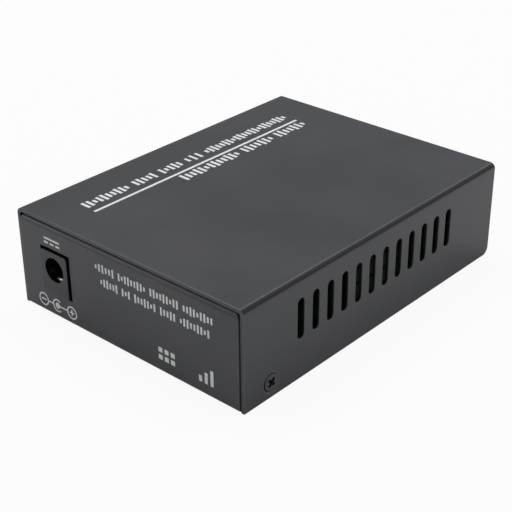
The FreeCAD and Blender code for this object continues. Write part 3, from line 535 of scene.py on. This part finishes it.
# %% Finish the inner pieces
INNER_FINISHES = (
    (zinc_plate, ["board_screws", "board_standoffs"]),
    (solder_mask_painted_darker, ["main_board"]),
    (tin_plate, ["power_inlet_side_terminal", "clock_crystal"]),
    (socket_plastic, ["fibre_port_connector"]),
    (gold_flash, ["fibre_port_contacts"]),
    (chip_epoxy, ["network_transformer", "converter_chip", "line_chip", "memory_chip",
                  "voltage_regulator", "input_diode", "chip_resistors"]),
    (ferrite, ["power_inductor"]),
    (can_sleeve, ["input_capacitor", "output_capacitor"]),
    (chip_ceramic, ["chip_capacitors"]),
)
for finish, names in INNER_FINISHES:
    for name in names:
        for slot_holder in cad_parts[name].material_slots:
            slot_holder.material = finish
    print(finish.name, "on:", ", ".join(names))

# %% [markdown]
# ## Small mouldings and strips
#
# The inlet, the network socket, the module cage and the blocks that hold the lights
# are seen through openings or at the panels, where their edges catch the light. Each
# edge rolls over by as much as its own process leaves: a tenth of a millimetre on a
# moulding, half of that on thin strip.

# %% Round the small mouldings and strips
inlet = rounded_piece("inlet_moulding", "power_inlet_body", 0.1, inlet_plastic, "black_moulding")
rounded_piece("socket_shield", "copper_port_shield", 0.05, tin_plate, "tin_plate")
rounded_piece("socket_housing", "copper_port_housing", 0.1, socket_plastic, "black_moulding")
rounded_piece("module_cage", "fibre_port_cage", 0.04, tin_plate, "tin_plate")
rounded_piece("module_collar", "fibre_port_collar", 0.03, spring_steel, "tin_plate")
for i in (1, 2, 3):
    names = ("light_block_%d" % i, "light_spacer_%d" % i)
    rounded_piece(*names, 0.15, socket_plastic, "black_moulding")

# %% The inlet behind its face
inlet_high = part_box("power_inlet_body")[1]
AXIS_DOWN = 4.5  # mm, from the inlet's top to the middle of its bore
BORE, BORE_DEPTH = 6.3, 10.4


def unlit_inlet(spot, normal):
    """The bore, and the sides of the moulding behind the panel: painted shade."""
    return spot.y < inlet_high.y - 0.12 * MM


# Painted shade: the bore and the moulding behind the panel are near black.
refinish(inlet, bore_painted_shade, unlit_inlet)

# %% [markdown]
# ## Repeating a piece with Geometry Nodes
#
# Screws and lights are the same piece at several places. A tree puts a template on
# every point of a mesh and turns it to the point's stored direction. Realize
# Instances makes real mesh of the copies, and the result becomes one plain mesh.
# Every tree of this scene starts and ends in the same way, so that is written once.


# %% Building and running a tree
def new_tree(name, sizes):
    """A geometry tree, its named inputs, each given as (name, kind, value), and its output."""
    tree = bpy.data.node_groups.new(name, "GeometryNodeTree")
    tree.interface.new_socket("Geometry", in_out="INPUT", socket_type="NodeSocketGeometry")
    for label, kind, value in sizes:
        made = tree.interface.new_socket(label, in_out="INPUT", socket_type="NodeSocket" + kind)
        if value is not None:
            made.default_value = value
    tree.interface.new_socket("Geometry", in_out="OUTPUT", socket_type="NodeSocketGeometry")
    return tree, tree.nodes.new("NodeGroupInput").outputs, tree.nodes.new("NodeGroupOutput")


def close_tree(tree, made, given, out):
    """End a tree: make its instances real, give them their finish, and hand them over."""
    real = add(tree, "GeometryNodeRealizeInstances", {"Geometry": made})
    coated = add(
        tree, "GeometryNodeSetMaterial",
        {"Geometry": real.outputs["Geometry"], "Material": given["Finish"]},
    )
    tree.links.new(coated.outputs["Geometry"], out.inputs["Geometry"])
    print("tree:", tree.name, "nodes:", len(tree.nodes))


def run_tree(name, start, tree, values):
    """Run a geometry tree on a starting mesh or curve, and return the plain mesh."""
    holder = placed(name, start)
    modifier = holder.modifiers.new(name, "NODES")
    modifier.node_group = tree
    for item in tree.interface.items_tree:
        if item.in_out == "INPUT" and item.name in values:
            modifier[item.identifier] = values[item.name]
    mesh = evaluated_mesh(holder)
    mesh.name = name
    bpy.data.objects.remove(holder)
    return mesh


# %% The tree that repeats a template
repeat_tree, given, out = new_tree(
    "repeat_template",
    [("Template", "Object", None), ("Size", "Float", 1.0), ("Finish", "Material", None)],
)
template = add(repeat_tree, "GeometryNodeObjectInfo", {"Object": given["Template"]})
way = add(
    repeat_tree, "GeometryNodeInputNamedAttribute", {"Name": "facing"}, data_type="FLOAT_VECTOR"
)
turned = add(
    repeat_tree, "FunctionNodeAlignRotationToVector", {"Vector": way.outputs["Attribute"]}, axis="Z"
)
copies = add(
    repeat_tree, "GeometryNodeInstanceOnPoints",
    {"Points": given["Geometry"], "Instance": template.outputs["Geometry"],
     "Rotation": turned.outputs["Rotation"], "Scale": given["Size"]},
)
close_tree(repeat_tree, copies.outputs["Instances"], given, out)


def repeated(name, template_mesh, spots, finish):
    """The template at every spot, a (place, facing) pair, its own +Z turned to facing."""
    points = bpy.data.meshes.new(name + "_spots")
    points.from_pydata([place for place, _ in spots], [], [])
    aims = points.attributes.new("facing", "FLOAT_VECTOR", "POINT")
    for value, (_, way) in zip(aims.data, spots):
        value.vector = way
    holder = bpy.data.objects.new(name + "_template", template_mesh)
    values = {"Template": holder, "Size": 1.0, "Finish": finish}
    mesh = run_tree(name, points, repeat_tree, values)
    bpy.data.objects.remove(holder)
    return mesh


# %% [markdown]
# ## Case screws
#
# A small countersunk screw has a flat face, a thin rolled rim, and a cross whose
# four wings slope down to the middle. The head is spun from its outline. The cross
# is cut with a boolean by a block of two crossed, tapering wings. Faces in the cross
# and under the head get a plain black, painted as shade. The heads lie level with
# the cover's side, a little further out than the CAD's.


# %% Spinning and carving
def spun(outline, steps):
    """A closed solid of revolution about Z from (radius, height) points in mm, top to bottom."""
    shape = bmesh.new()
    angles = [2 * math.pi * i / steps for i in range(steps)]
    rings = []
    for radius, height in outline:
        if radius == 0:
            rings.append([shape.verts.new((0, 0, height * MM))])
            continue
        spots = [(radius * math.cos(a), radius * math.sin(a), height) for a in angles]
        rings.append([shape.verts.new(Vector(spot) * MM) for spot in spots])
    for upper, lower in zip(rings, rings[1:]):
        for i in range(steps):
            corners = [upper[i % len(upper)], lower[i % len(lower)], lower[(i + 1) % len(lower)],
                       upper[(i + 1) % len(upper)]]
            shape.faces.new(list(dict.fromkeys(corners)))
    bmesh.ops.recalc_face_normals(shape, faces=shape.faces)
    return shape


def wing_cutter(span_mm, arm_mm, depth_mm, low_span=0.45, low_arm=0.7):
    """Two crossed wings, each narrower at the bottom by the two shares."""
    shape = bmesh.new()
    for turn in (0, 90):
        made = bmesh.ops.create_cube(shape, size=1.0)["verts"]
        for vert in made:
            low = vert.co.z < 0
            vert.co.x *= span_mm * MM * (low_span if low else 1.0)
            vert.co.y *= arm_mm * MM * (low_arm if low else 1.0)
            vert.co.z = -depth_mm * MM if low else 0.1 * MM
        bmesh.ops.rotate(shape, verts=made, matrix=Matrix.Rotation(math.radians(turn), 3, "Z"))
    return shape


def carved(name, body, cutter):
    """The body with the cutter taken away."""
    kept = placed(name + "_body", mesh_from(name + "_body", body))
    taken = placed(name + "_cutter", mesh_from(name + "_cutter", cutter))
    modifier = kept.modifiers.new("carve", "BOOLEAN")
    modifier.object = taken
    modifier.operation = "DIFFERENCE"
    modifier.solver = "EXACT"
    modifier.use_self = True
    mesh = evaluated_mesh(kept)
    for used in (kept, taken):
        bpy.data.objects.remove(used)
    return mesh


# %% One screw
SCREW_HEAD, SCREW_THREAD, SCREW_LENGTH = 4.2, 2.5, 4.0  # mm
HEAD_RIM = 0.26  # the straight edge of the head, before it slopes to the thread
END_CHAMFER = 0.3
CROSS_SPAN, CROSS_ARM, CROSS_DEPTH = 2.6, 0.8, 1.5
half_head, half_thread = SCREW_HEAD / 2, SCREW_THREAD / 2
slope = half_head - half_thread
screw_outline = [
    (0, 0), (half_head - 0.16, 0), (half_head - 0.05, -0.03), (half_head, -0.09),
    (half_head, -HEAD_RIM), (half_thread, -HEAD_RIM - slope),
    (half_thread, -SCREW_LENGTH + END_CHAMFER), (half_thread - END_CHAMFER, -SCREW_LENGTH),
    (0, -SCREW_LENGTH),
]
cross = wing_cutter(CROSS_SPAN, CROSS_ARM, CROSS_DEPTH)
screw_mesh = carved("case_screw", spun(screw_outline, 48), cross)
screw_mesh.transform(Matrix.Rotation(math.radians(45), 4, "Z"))
smoothed(screw_mesh, 30)
print("screw, faces:", len(screw_mesh.polygons))

# %% Both screws
HEAD_SUNK = 0.02  # mm, the head's face below the cover's side
LOOSE_FIT = 0.15  # mm, the screw's play in its hole
CROSS_ROUND = 1.35  # mm, radius of the circle that holds the cross
screws_low, screws_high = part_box("cover_screws")
screw_middle = (screws_low + screws_high) / 2
head_face = cover_high.x - HEAD_SUNK * MM
screw_y = screw_middle.y - LOOSE_FIT * MM
screw_spots = [
    (Vector((side * head_face, screw_y, screw_middle.z)), Vector((side, 0, 0))) for side in (-1, 1)
]
screws = repeated("case_screws", screw_mesh, screw_spots, black_steel)
add_piece("case_screws", screws, black_steel, "black_screw", "cover_screws")
# Painted shade: faces in the cross and under the head are plain black.
screws.materials.append(screw_painted_shade)
for polygon in screws.polygons:
    depth = (head_face - abs(polygon.center.x)) / MM
    off_axis = (polygon.center - screw_middle).yz.length / MM
    hidden = off_axis < CROSS_ROUND or off_axis > half_head - 0.02 or depth > HEAD_RIM
    if depth > 0.03 and hidden:
        polygon.material_index = 1
print("case screws, faces:", len(screws.polygons))

# %% [markdown]
# ## The inlet's pin
#
# The pin is turned from brass and nickel plated. Its nose is rounded to guide the
# plug, so it picks up a spark of light deep in the dark bore. Its shank is riveted
# to a flat blade behind the moulding.

# %% Centre pin
PIN_RADIUS, SHANK_RADIUS, BLADE = 1.0, 1.3, 0.3  # mm
NOSE_FLAT = 0.8  # the dome's height as a share of its radius
pin_low, pin_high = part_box("power_inlet_pin")
pin_axis_z = inlet_high.z - AXIS_DOWN * MM
pin_length = (pin_high.y - pin_low.y) / MM
quarter = [math.pi * i / 16 for i in range(9)]
nose = [(PIN_RADIUS * math.sin(a), NOSE_FLAT * PIN_RADIUS * (math.cos(a) - 1)) for a in quarter]
shoulder = -(BORE_DEPTH - (inlet_high.y - pin_high.y) / MM)
pin_outline = nose + [
    (PIN_RADIUS, shoulder), (SHANK_RADIUS, shoulder), (SHANK_RADIUS, -pin_length), (0, -pin_length)
]
pin_mesh = smoothed(mesh_from("centre_pin", spun(pin_outline, 32)), 50)
pin_tip = Vector(((pin_low.x + pin_high.x) / 2, pin_high.y, pin_axis_z))
pin = repeated("inlet_centre_pin", pin_mesh, [(pin_tip, Vector((0, 1, 0)))], nickel_pin)
shape = bmesh.new()
shape.from_mesh(pin)
blade = bmesh.ops.create_cube(shape, size=1.0)["verts"]
for vert in blade:
    vert.co.x = pin_high.x if vert.co.x > 0 else pin_low.x
    vert.co.y = pin_low.y + (BLADE * MM if vert.co.y > 0 else 0)
    vert.co.z = pin_high.z if vert.co.z > 0 else pin_low.z
shape.to_mesh(pin)
shape.free()
add_piece("inlet_centre_pin", pin, nickel_pin, "plated_steel", "power_inlet_pin")
print("centre pin, mm long:", round(pin_length, 2), "axis at", round(pin_axis_z / MM, 2))

# %% [markdown]
# ## Contacts and leads
#
# Bent wire has round bends, and its shine runs along them. A tree rounds the
# corners of each path, sweeps a small profile along it and closes the ends. It
# makes the eight gilded wires of the network socket, the tinned leads of the
# lights, and the leaf in the power inlet.

# %% The tree that bends wire
wire_tree, given, out = new_tree(
    "bent_wire",
    [("Width", "Float", 0.001), ("Thickness", "Float", 0.001), ("Corner", "Float", 0.0001),
     ("Bend", "Float", 0.001), ("Finish", "Material", None)],
)


def eased(curve, radius, steps):
    """A curve of the tree with its corners rounded."""
    values = {"Curve": curve, "Radius": radius, "Count": steps, "Limit Radius": True}
    return add(wire_tree, "GeometryNodeFilletCurve", values, mode="POLY").outputs["Curve"]


section = add(
    wire_tree, "GeometryNodeCurvePrimitiveQuadrilateral",
    {"Width": given["Width"], "Height": given["Thickness"]},
)
swept = add(
    wire_tree, "GeometryNodeCurveToMesh",
    {"Curve": eased(given["Geometry"], given["Bend"], 5),
     "Profile Curve": eased(section.outputs["Curve"], given["Corner"], 2), "Fill Caps": True},
)
close_tree(wire_tree, swept.outputs["Mesh"], given, out)


def poly_curve(name, paths):
    """A curve of straight stretches through points in metres."""
    curve = bpy.data.curves.new(name, "CURVE")
    curve.dimensions = "3D"
    for path in paths:
        spline = curve.splines.new("POLY")
        spline.points.add(len(path) - 1)
        for point, spot in zip(spline.points, path):
            point.co = (*spot, 1)
    return curve


def bent_wires(name, paths, width_mm, thickness_mm, corner_mm, bend_mm, finish, slot, *replaced):
    """Wires or strips along paths of (x, y, z) points in mm, as one piece."""
    curve = poly_curve(name + "_paths", [[Vector(spot) * MM for spot in path] for path in paths])
    values = {"Width": width_mm * MM, "Thickness": thickness_mm * MM, "Corner": corner_mm * MM,
              "Bend": bend_mm * MM, "Finish": finish}
    mesh = smoothed(run_tree(name, curve, wire_tree, values), 50)
    print(name, "paths:", len(paths), "faces:", len(mesh.polygons))
    return add_piece(name, mesh, finish, slot, *replaced)


# %% Socket contacts
CONTACTS, CONTACT_PITCH, CONTACT_WIRE = 8, 1.02, 0.34
SOCKET_HEIGHT = 13.3  # the shield above the board
ROWS = (15.0, 17.1)  # where the contacts turn down, behind the socket's mouth
RUN_HEIGHT, TURN, DROP = 11.8, 3.6, 0.75  # the run under the roof, and its fold at the front
TIP, TIP_HEIGHT = 9.6, 8.95  # the free end, behind the mouth and above the board
shield_low, shield_high = (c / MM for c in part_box("copper_port_shield"))
wires_low, wires_high = (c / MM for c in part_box("copper_port_contacts"))
mouth = shield_low.y
board_top = shield_high.z - SOCKET_HEIGHT
run, tip = board_top + RUN_HEIGHT, board_top + TIP_HEIGHT
paths = []
for i in range(CONTACTS):
    x = (wires_low.x + wires_high.x) / 2 + (i - (CONTACTS - 1) / 2) * CONTACT_PITCH
    back = mouth + ROWS[i % 2]
    paths.append([(x, back, wires_low.z), (x, back, run), (x, mouth + TURN, run),
                  (x, mouth + TURN, run - DROP), (x, mouth + TIP, tip)])
bent_wires("socket_contacts", paths, CONTACT_WIRE, CONTACT_WIRE, 0.14, 0.45, gold_flash,
           "gilt_contact", "copper_port_contacts")

# %% [markdown]
# ### The inlet's leaf
#
# A spring leaf presses on the plug's sleeve from below, and its rounded lip catches
# a spark of light just inside the bore. The lip is drawn 0.8 mm further forward than
# the CAD's, to show at a slant. There it rests on the bore's floor, and its lower
# end stands in the moulding.

# %% Inlet leaf
LEAF_WIDTH, LEAF_SHEET = 2.5, 0.28
LIP, CREST, LEAF_END = 1.5, 5.6, 11.45  # behind the inlet's face
leaf_low, leaf_high = (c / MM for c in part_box("power_inlet_leaf"))
inlet_face = inlet_high.y / MM
bore_floor = inlet_high.z / MM - AXIS_DOWN - BORE / 2
leaf_x = (leaf_low.x + leaf_high.x) / 2
stations = [
    (LIP, bore_floor - 0.75), (LIP, bore_floor + 0.28), (CREST, bore_floor + 0.3),
    (LEAF_END, bore_floor - 0.5), (LEAF_END, leaf_low.z),
]
leaf_path = [(leaf_x, inlet_face - behind, z) for behind, z in stations]
bent_wires("inlet_leaf", [leaf_path], LEAF_WIDTH, LEAF_SHEET, 0.08, 0.6, tin_plate, "plated_steel",
           "power_inlet_leaf")

# %% [markdown]
# ## Status lights
#
# Each light is a short rod of tinted epoxy with a domed nose. A quarter circle of
# points gives the dome, and the outline is spun about the light's axis. Two tinned
# leads run back and down to the board, and the CAD's places give every light its
# spot.

# %% Lights
LIGHT_NAMES = ["status_light_%d" % (i + 1) for i in range(6)]
LIGHT_RADIUS, LIGHT_LENGTH = 1.5, 5.3  # mm
arc = [math.radians(turn) for turn in range(0, 91, 10)]
dome = [(LIGHT_RADIUS * math.sin(a), LIGHT_RADIUS * (math.cos(a) - 1)) for a in arc]
light_outline = dome + [(LIGHT_RADIUS, -LIGHT_LENGTH), (0, -LIGHT_LENGTH)]
light_mesh = smoothed(mesh_from("status_light", spun(light_outline, 32)), 50)


def light_spot(cad_name):
    """The front of a CAD light's nose, and the way it looks."""
    low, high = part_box(cad_name)
    nose = Vector(((low.x + high.x) / 2, low.y, high.z - LIGHT_RADIUS * MM))
    return nose, Vector((0, -1, 0))


def add_lights(name, cad_names, lens, slot):
    """One piece of all the lights of a colour."""
    mesh = repeated(name, light_mesh, [light_spot(cad_name) for cad_name in cad_names], lens)
    add_piece(name, mesh, lens, slot, *cad_names)
    print(name, "count:", len(cad_names))


RED = "status_light_2"
add_lights("green_lights", [name for name in LIGHT_NAMES if name != RED], green_lens, "lens_green")
add_lights("red_light", [RED], red_lens, "lens_red")

# %% Leads of the lights
LEAD, LEAD_SPACING = 0.42, 2.54  # mm, thick and apart
LEAD_RUN, LEAD_STEP = 4.4, 1.8  # back to the bend, and further for every second light
paths = []
for index, name in enumerate(LIGHT_NAMES):
    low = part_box(name)[0] / MM
    nose = light_spot(name)[0] / MM
    back = low.y + LIGHT_LENGTH
    turn = back + LEAD_RUN + (index % 2) * LEAD_STEP
    for side in (-1, 1):
        x = nose.x + side * LEAD_SPACING / 2
        paths.append([(x, back - 0.3, nose.z), (x, turn, nose.z), (x, turn, low.z)])
bent_wires("light_leads", paths, LEAD, LEAD, 0.05, 0.6, tin_plate, "tin_plate")

# %% [markdown]
# ## Printed marks
#
# The case carries plain marks only: a ruled line, rows of upright strokes that rise
# and fall like a signal, and the two symbols that every direct-current inlet has.
# All lie flat on a sheet, so they are drawn in the sheet's own plane in
# millimetres, across and up, and then laid on it as a film of ink.


# %% Laying ink on a face
INK_FILM = 0.015  # mm, a real film of screen-printing ink


class Face:
    """A flat side of the case to print on: its origin, and which way is across, up and out."""

    def __init__(self, origin, across, up):
        self.origin, self.across, self.up = Vector(origin), Vector(across), Vector(up)
        self.out = self.across.cross(self.up)

    def at(self, across_mm, up_mm, out_mm=0.0):
        """A point on the face, in metres."""
        return self.origin + (self.across * across_mm + self.up * up_mm + self.out * out_mm) * MM


def printed(name, face, patches):
    """Lay flat patches, lists of (across, up) corners in mm, on a face as a film of ink."""
    shape = bmesh.new()
    for patch in patches:
        area = sum(a[0] * b[1] - b[0] * a[1] for a, b in zip(patch, patch[1:] + patch[:1]))
        ring = patch if area > 0 else patch[::-1]
        low = [shape.verts.new(face.at(a, u, -INK_FILM)) for a, u in ring]
        high = [shape.verts.new(face.at(a, u, INK_FILM)) for a, u in ring]
        shape.faces.new(high)
        shape.faces.new(low[::-1])
        for i in range(len(ring)):
            j = (i + 1) % len(ring)
            shape.faces.new([low[i], low[j], high[j], high[i]])
    print(name, "patches:", len(patches))
    return add_piece(name, mesh_from(name, shape), ink, "powder_coat")


def bar(across, up, width, height):
    """A plain bar about its middle."""
    w, h = width / 2, height / 2
    return [(across - w, up - h), (across + w, up - h), (across + w, up + h), (across - w, up + h)]


def ring(across, up, outer, inner, start=0, end=360, step=10):
    """Patches of a ring or an arc between two radii, one for each step of degrees."""
    pieces = []
    for turn in range(start, end, step):
        a, b = math.radians(turn), math.radians(turn + step)
        corners = ((inner, a), (outer, a), (outer, b), (inner, b))
        pieces.append([(across + r * math.cos(t), up + r * math.sin(t)) for r, t in corners])
    return pieces


def disc(across, up, radius, steps=28):
    """A filled dot."""
    turns = [2 * math.pi * i / steps for i in range(steps)]
    return [(across + radius * math.cos(t), up + radius * math.sin(t)) for t in turns]


rear_face = Face((case_high.x, rear_plane, case_low.z), (-1, 0, 0), (0, 0, 1))
roof_face = Face((case_high.x, cover_high.y, case_high.z), (0, 1, 0), (-1, 0, 0))
print("rear face looks", tuple(rear_face.out), "and the roof", tuple(roof_face.out))

# %% [markdown]
# ### The inlet's symbols
#
# Under the inlet, three circles on a line say which part of the plug is positive.
# Above it, a bar over three dashes is the sign for direct current. Patches of ink
# must not overlap, so the cross of the plus sign is one bar and two half arms.

# %% Symbols
RING = 1.75  # outer radius, mm
STROKE = 0.38
ARM = 1.7  # length of the minus and of the plus
LINE_UP = 3.6  # height of the polarity line above the floor
MINUS, CENTRE, PLUS = 7.5, 12.5, 17.6  # across
OPEN_FROM, OPEN_TO = 50, 310  # degrees, the ring that is open towards the plus
LINES = ((10.0, 1.5), (14.56, 2.56))  # middle and length of the lines between the circles
marks = []
for across in (MINUS, PLUS):
    marks += ring(across, LINE_UP, RING, RING - STROKE)
    marks.append(bar(across, LINE_UP, ARM, STROKE))
half_arm = (ARM - STROKE) / 2
for side in (-1, 1):
    marks.append(bar(PLUS, LINE_UP + side * (STROKE + half_arm) / 2, STROKE, half_arm))
marks += ring(CENTRE, LINE_UP, RING, RING - STROKE, OPEN_FROM, OPEN_TO)
marks.append(disc(CENTRE, LINE_UP, 0.8))
for across, length in LINES:
    marks.append(bar(across, LINE_UP, length, STROKE))
SIGN_ACROSS, SIGN_UP, SIGN_WIDE, SIGN_STROKE = 12.4, 20.5, 5.4, 0.5
marks.append(bar(SIGN_ACROSS, SIGN_UP + 0.5, SIGN_WIDE, SIGN_STROKE))
dash = SIGN_WIDE / 4
for step in (-1, 0, 1):
    marks.append(bar(SIGN_ACROSS + step * 1.5 * dash, SIGN_UP - 0.6, dash, SIGN_STROKE))
printed("inlet_symbols", rear_face, marks)

# %% [markdown]
# ### Two plain marks
#
# Low on the rear there is room for two small marks: a block of six squares, and
# three rising bars. They mean nothing, and only balance the panel.

# %% Plain marks
SQUARE, SQUARE_PITCH = 1.25, 1.9
SQUARES_AT = (47.2, 4.3)  # across and up, the middle of the first square
BAR_WIDE, BAR_PITCH, BAR_HEIGHTS = 0.9, 1.7, (1.6, 2.8, 4.0)
BARS_AT = (59.3, 3.4)  # the foot of the first bar
blocks = []
for column in range(3):
    for row in range(2):
        spot = (SQUARES_AT[0] + SQUARE_PITCH * column, SQUARES_AT[1] + SQUARE_PITCH * row)
        blocks.append(bar(*spot, SQUARE, SQUARE))
for i, height in enumerate(BAR_HEIGHTS):
    blocks.append(bar(BARS_AT[0] + BAR_PITCH * i, BARS_AT[1] + height / 2, BAR_WIDE, height))
printed("plain_marks", rear_face, blocks)

# %% [markdown]
# ### Rows of signal strokes
#
# A tree follows each straight run of a curve, sets points at an even pitch, and
# stands an upright stroke on each. A wave gives each stroke its height.

# %% The tree for strokes
stroke_tree, given, out = new_tree(
    "signal_strokes",
    [("Pitch", "Float", 1.0), ("Stroke Width", "Float", 0.5), ("Tallest", "Float", 2.0),
     ("Shortest Share", "Float", 0.45), ("Wave", "Float", 1.0), ("Film", "Float", 0.03),
     ("Upright", "Vector", None), ("Finish", "Material", None)],
)
spread = add(
    stroke_tree, "GeometryNodeResampleCurve",
    {"Curve": given["Geometry"], "Length": given["Pitch"]}, mode="LENGTH",
)
index = add(stroke_tree, "GeometryNodeInputIndex").outputs["Index"]
phase = maths(stroke_tree, "MULTIPLY", index, given["Wave"])
swing = maths(stroke_tree, "ABSOLUTE", maths(stroke_tree, "SINE", phase))
share = add(
    stroke_tree, "ShaderNodeMapRange",
    {"Value": swing, "To Min": given["Shortest Share"], "To Max": 1.0},
)
tall = maths(stroke_tree, "MULTIPLY", share.outputs["Result"], given["Tallest"])
size = add(
    stroke_tree, "ShaderNodeCombineXYZ", {"X": given["Stroke Width"], "Y": tall, "Z": given["Film"]}
)
tangent = add(stroke_tree, "GeometryNodeInputTangent").outputs[0]
along = add(stroke_tree, "FunctionNodeAlignRotationToVector", {"Vector": tangent}, axis="X")
upright = add(
    stroke_tree, "FunctionNodeAlignRotationToVector",
    {"Rotation": along.outputs[0], "Vector": given["Upright"]}, axis="Y", pivot_axis="X",
)
block = add(stroke_tree, "GeometryNodeMeshCube", {"Size": (1, 1, 1)})
stood = add(
    stroke_tree, "GeometryNodeInstanceOnPoints",
    {"Points": spread.outputs["Curve"], "Instance": block.outputs["Mesh"],
     "Rotation": upright.outputs[0], "Scale": size.outputs["Vector"]},
)
close_tree(stroke_tree, stood.outputs["Instances"], given, out)

# %% Strokes on the rear and the roof
STROKE_SHARE = 0.56  # a stroke's width as a share of the pitch
SHORTEST_SHARE = 0.45  # the shortest stroke's height as a share of the tallest
WAVE = 0.9  # how fast the heights rise and fall, radians for each stroke


def stroke_row(name, face, up_mm, tallest_mm, pitch_mm, runs):
    """Rows of strokes on a face: each run is (start, end) in mm across."""
    curve = poly_curve(name + "_runs", [[face.at(across, up_mm) for across in run] for run in runs])
    values = {"Pitch": pitch_mm * MM, "Stroke Width": STROKE_SHARE * pitch_mm * MM,
              "Tallest": tallest_mm * MM, "Shortest Share": SHORTEST_SHARE, "Wave": WAVE,
              "Film": 2 * INK_FILM * MM, "Upright": face.up, "Finish": ink}
    mesh = run_tree(name, curve, stroke_tree, values)
    print(name, "runs:", len(runs), "faces:", len(mesh.polygons))
    return add_piece(name, mesh, ink, "powder_coat")


stroke_row("rear_strokes_upper", rear_face, 19.8, 2.2, 0.95,
           [(27.5, 33), (35, 43), (45, 53), (55, 63)])
stroke_row("rear_strokes_lower", rear_face, 16.3, 2.2, 0.95,
           [(29, 34), (36, 38), (40, 46), (48, 52), (54, 62)])
printed("roof_rule", roof_face, [bar(-46.5, 15.8, 72.6, 0.75)])
stroke_row("roof_strokes_large", roof_face, 18.55, 3.4, 1.5, [(-82, -72), (-69, -59), (-56, -37)])
stroke_row("roof_strokes_small", roof_face, 11.85, 3.2, 1.4,
           [(-82, -52), (-49, -45), (-42, -36), (-33, -27), (-24, -11)])

# %% [markdown]
# ## Floor and light
#
# The case stands on white card in a pale room that is brightest at the height of
# the table. Six soft lamps stand round it, each weak, so that every side has its
# own even tone and no shine stands out. The smallest one glints on the inlet's leaf.
# The card shows nearly white to the camera and only a little in reflections, and
# keeps the shadow under the case.

# %% Floor
REACH = 6.0  # metres
SHOWN_WHITE = 0.93  # share of the card that is plain white to the camera
MIRRORED_WHITE = 0.1  # and in reflections and through lenses
card = bpy.data.meshes.new("white_card")
corners = [(-REACH, -REACH, 0), (REACH, -REACH, 0), (REACH, REACH, 0), (-REACH, REACH, 0)]
card.from_pydata(corners, [], [(0, 1, 2, 3)])
floor = placed("white_card", card)
card_paper, tree, shader, place = start_finish("white_card", "dcdcdc", Roughness=0.9)
rays = add(tree, "ShaderNodeLightPath").outputs
mirrored = maths(tree, "MAXIMUM", rays["Is Glossy Ray"], rays["Is Transmission Ray"])
some = maths(tree, "MULTIPLY", mirrored, MIRRORED_WHITE)
share = maths(tree, "MULTIPLY_ADD", rays["Is Camera Ray"], SHOWN_WHITE, some)
glow = add(tree, "ShaderNodeEmission", {"Color": (1, 1, 1, 1), "Strength": 1.0})
mixed = add(
    tree, "ShaderNodeMixShader",
    {0: share, 1: shader.outputs["BSDF"], 2: glow.outputs["Emission"]},
)
tree.links.new(mixed.outputs["Shader"], tree.nodes["Material Output"].inputs["Surface"])
card.materials.append(card_paper)
print("floor, m across:", 2 * REACH)

# %% The room
ROOM_LOW = 0.38  # brightness of the room at the height of the table
ROOM_HIGH = 0.02  # and overhead
world = bpy.data.worlds.new("soft_room")
bpy.context.scene.world = world
world.use_nodes = True
tree = world.node_tree
room = tree.nodes["Background"]
room.inputs["Color"].default_value = (1, 1, 1, 1)
way = add(tree, "ShaderNodeTexCoord").outputs["Generated"]
height = add(tree, "ShaderNodeSeparateXYZ", {"Vector": way}).outputs["Z"]
glow = between(tree, height, 0.05, 0.85, ROOM_LOW, ROOM_HIGH)
seen = add(tree, "ShaderNodeLightPath").outputs["Is Camera Ray"]
tree.links.new(maths(tree, "MAXIMUM", glow, seen), room.inputs["Strength"])
print("room, from", ROOM_LOW, "to", ROOM_HIGH)

# %% Lamps
# name: degrees round, degrees up, metres away, metres wide, watts
LAMPS = {
    "rim_lamp": (-15, 60, 1.0, 0.5, 2.5),
    "key_lamp": (-60, 64, 1.0, 0.5, 1.2),
    "side_lamp": (-108, 48, 1.0, 0.9, 3.2),
    "wall_lamp": (175, 35, 1.0, 0.7, 1.3),
    "back_lamp": (30, 62, 1.0, 0.7, 2.5),
    "low_lamp": (40, 24, 0.6, 0.2, 0.2),
}
for name, (turn, rise, distance, size, power) in LAMPS.items():
    lamp = bpy.data.lights.new(name, "AREA")
    lamp.size = size
    lamp.energy = power
    placed(name, lamp).matrix_world = facing(middle + direction(turn, rise) * distance, middle)
print("lamps:", len(LAMPS))
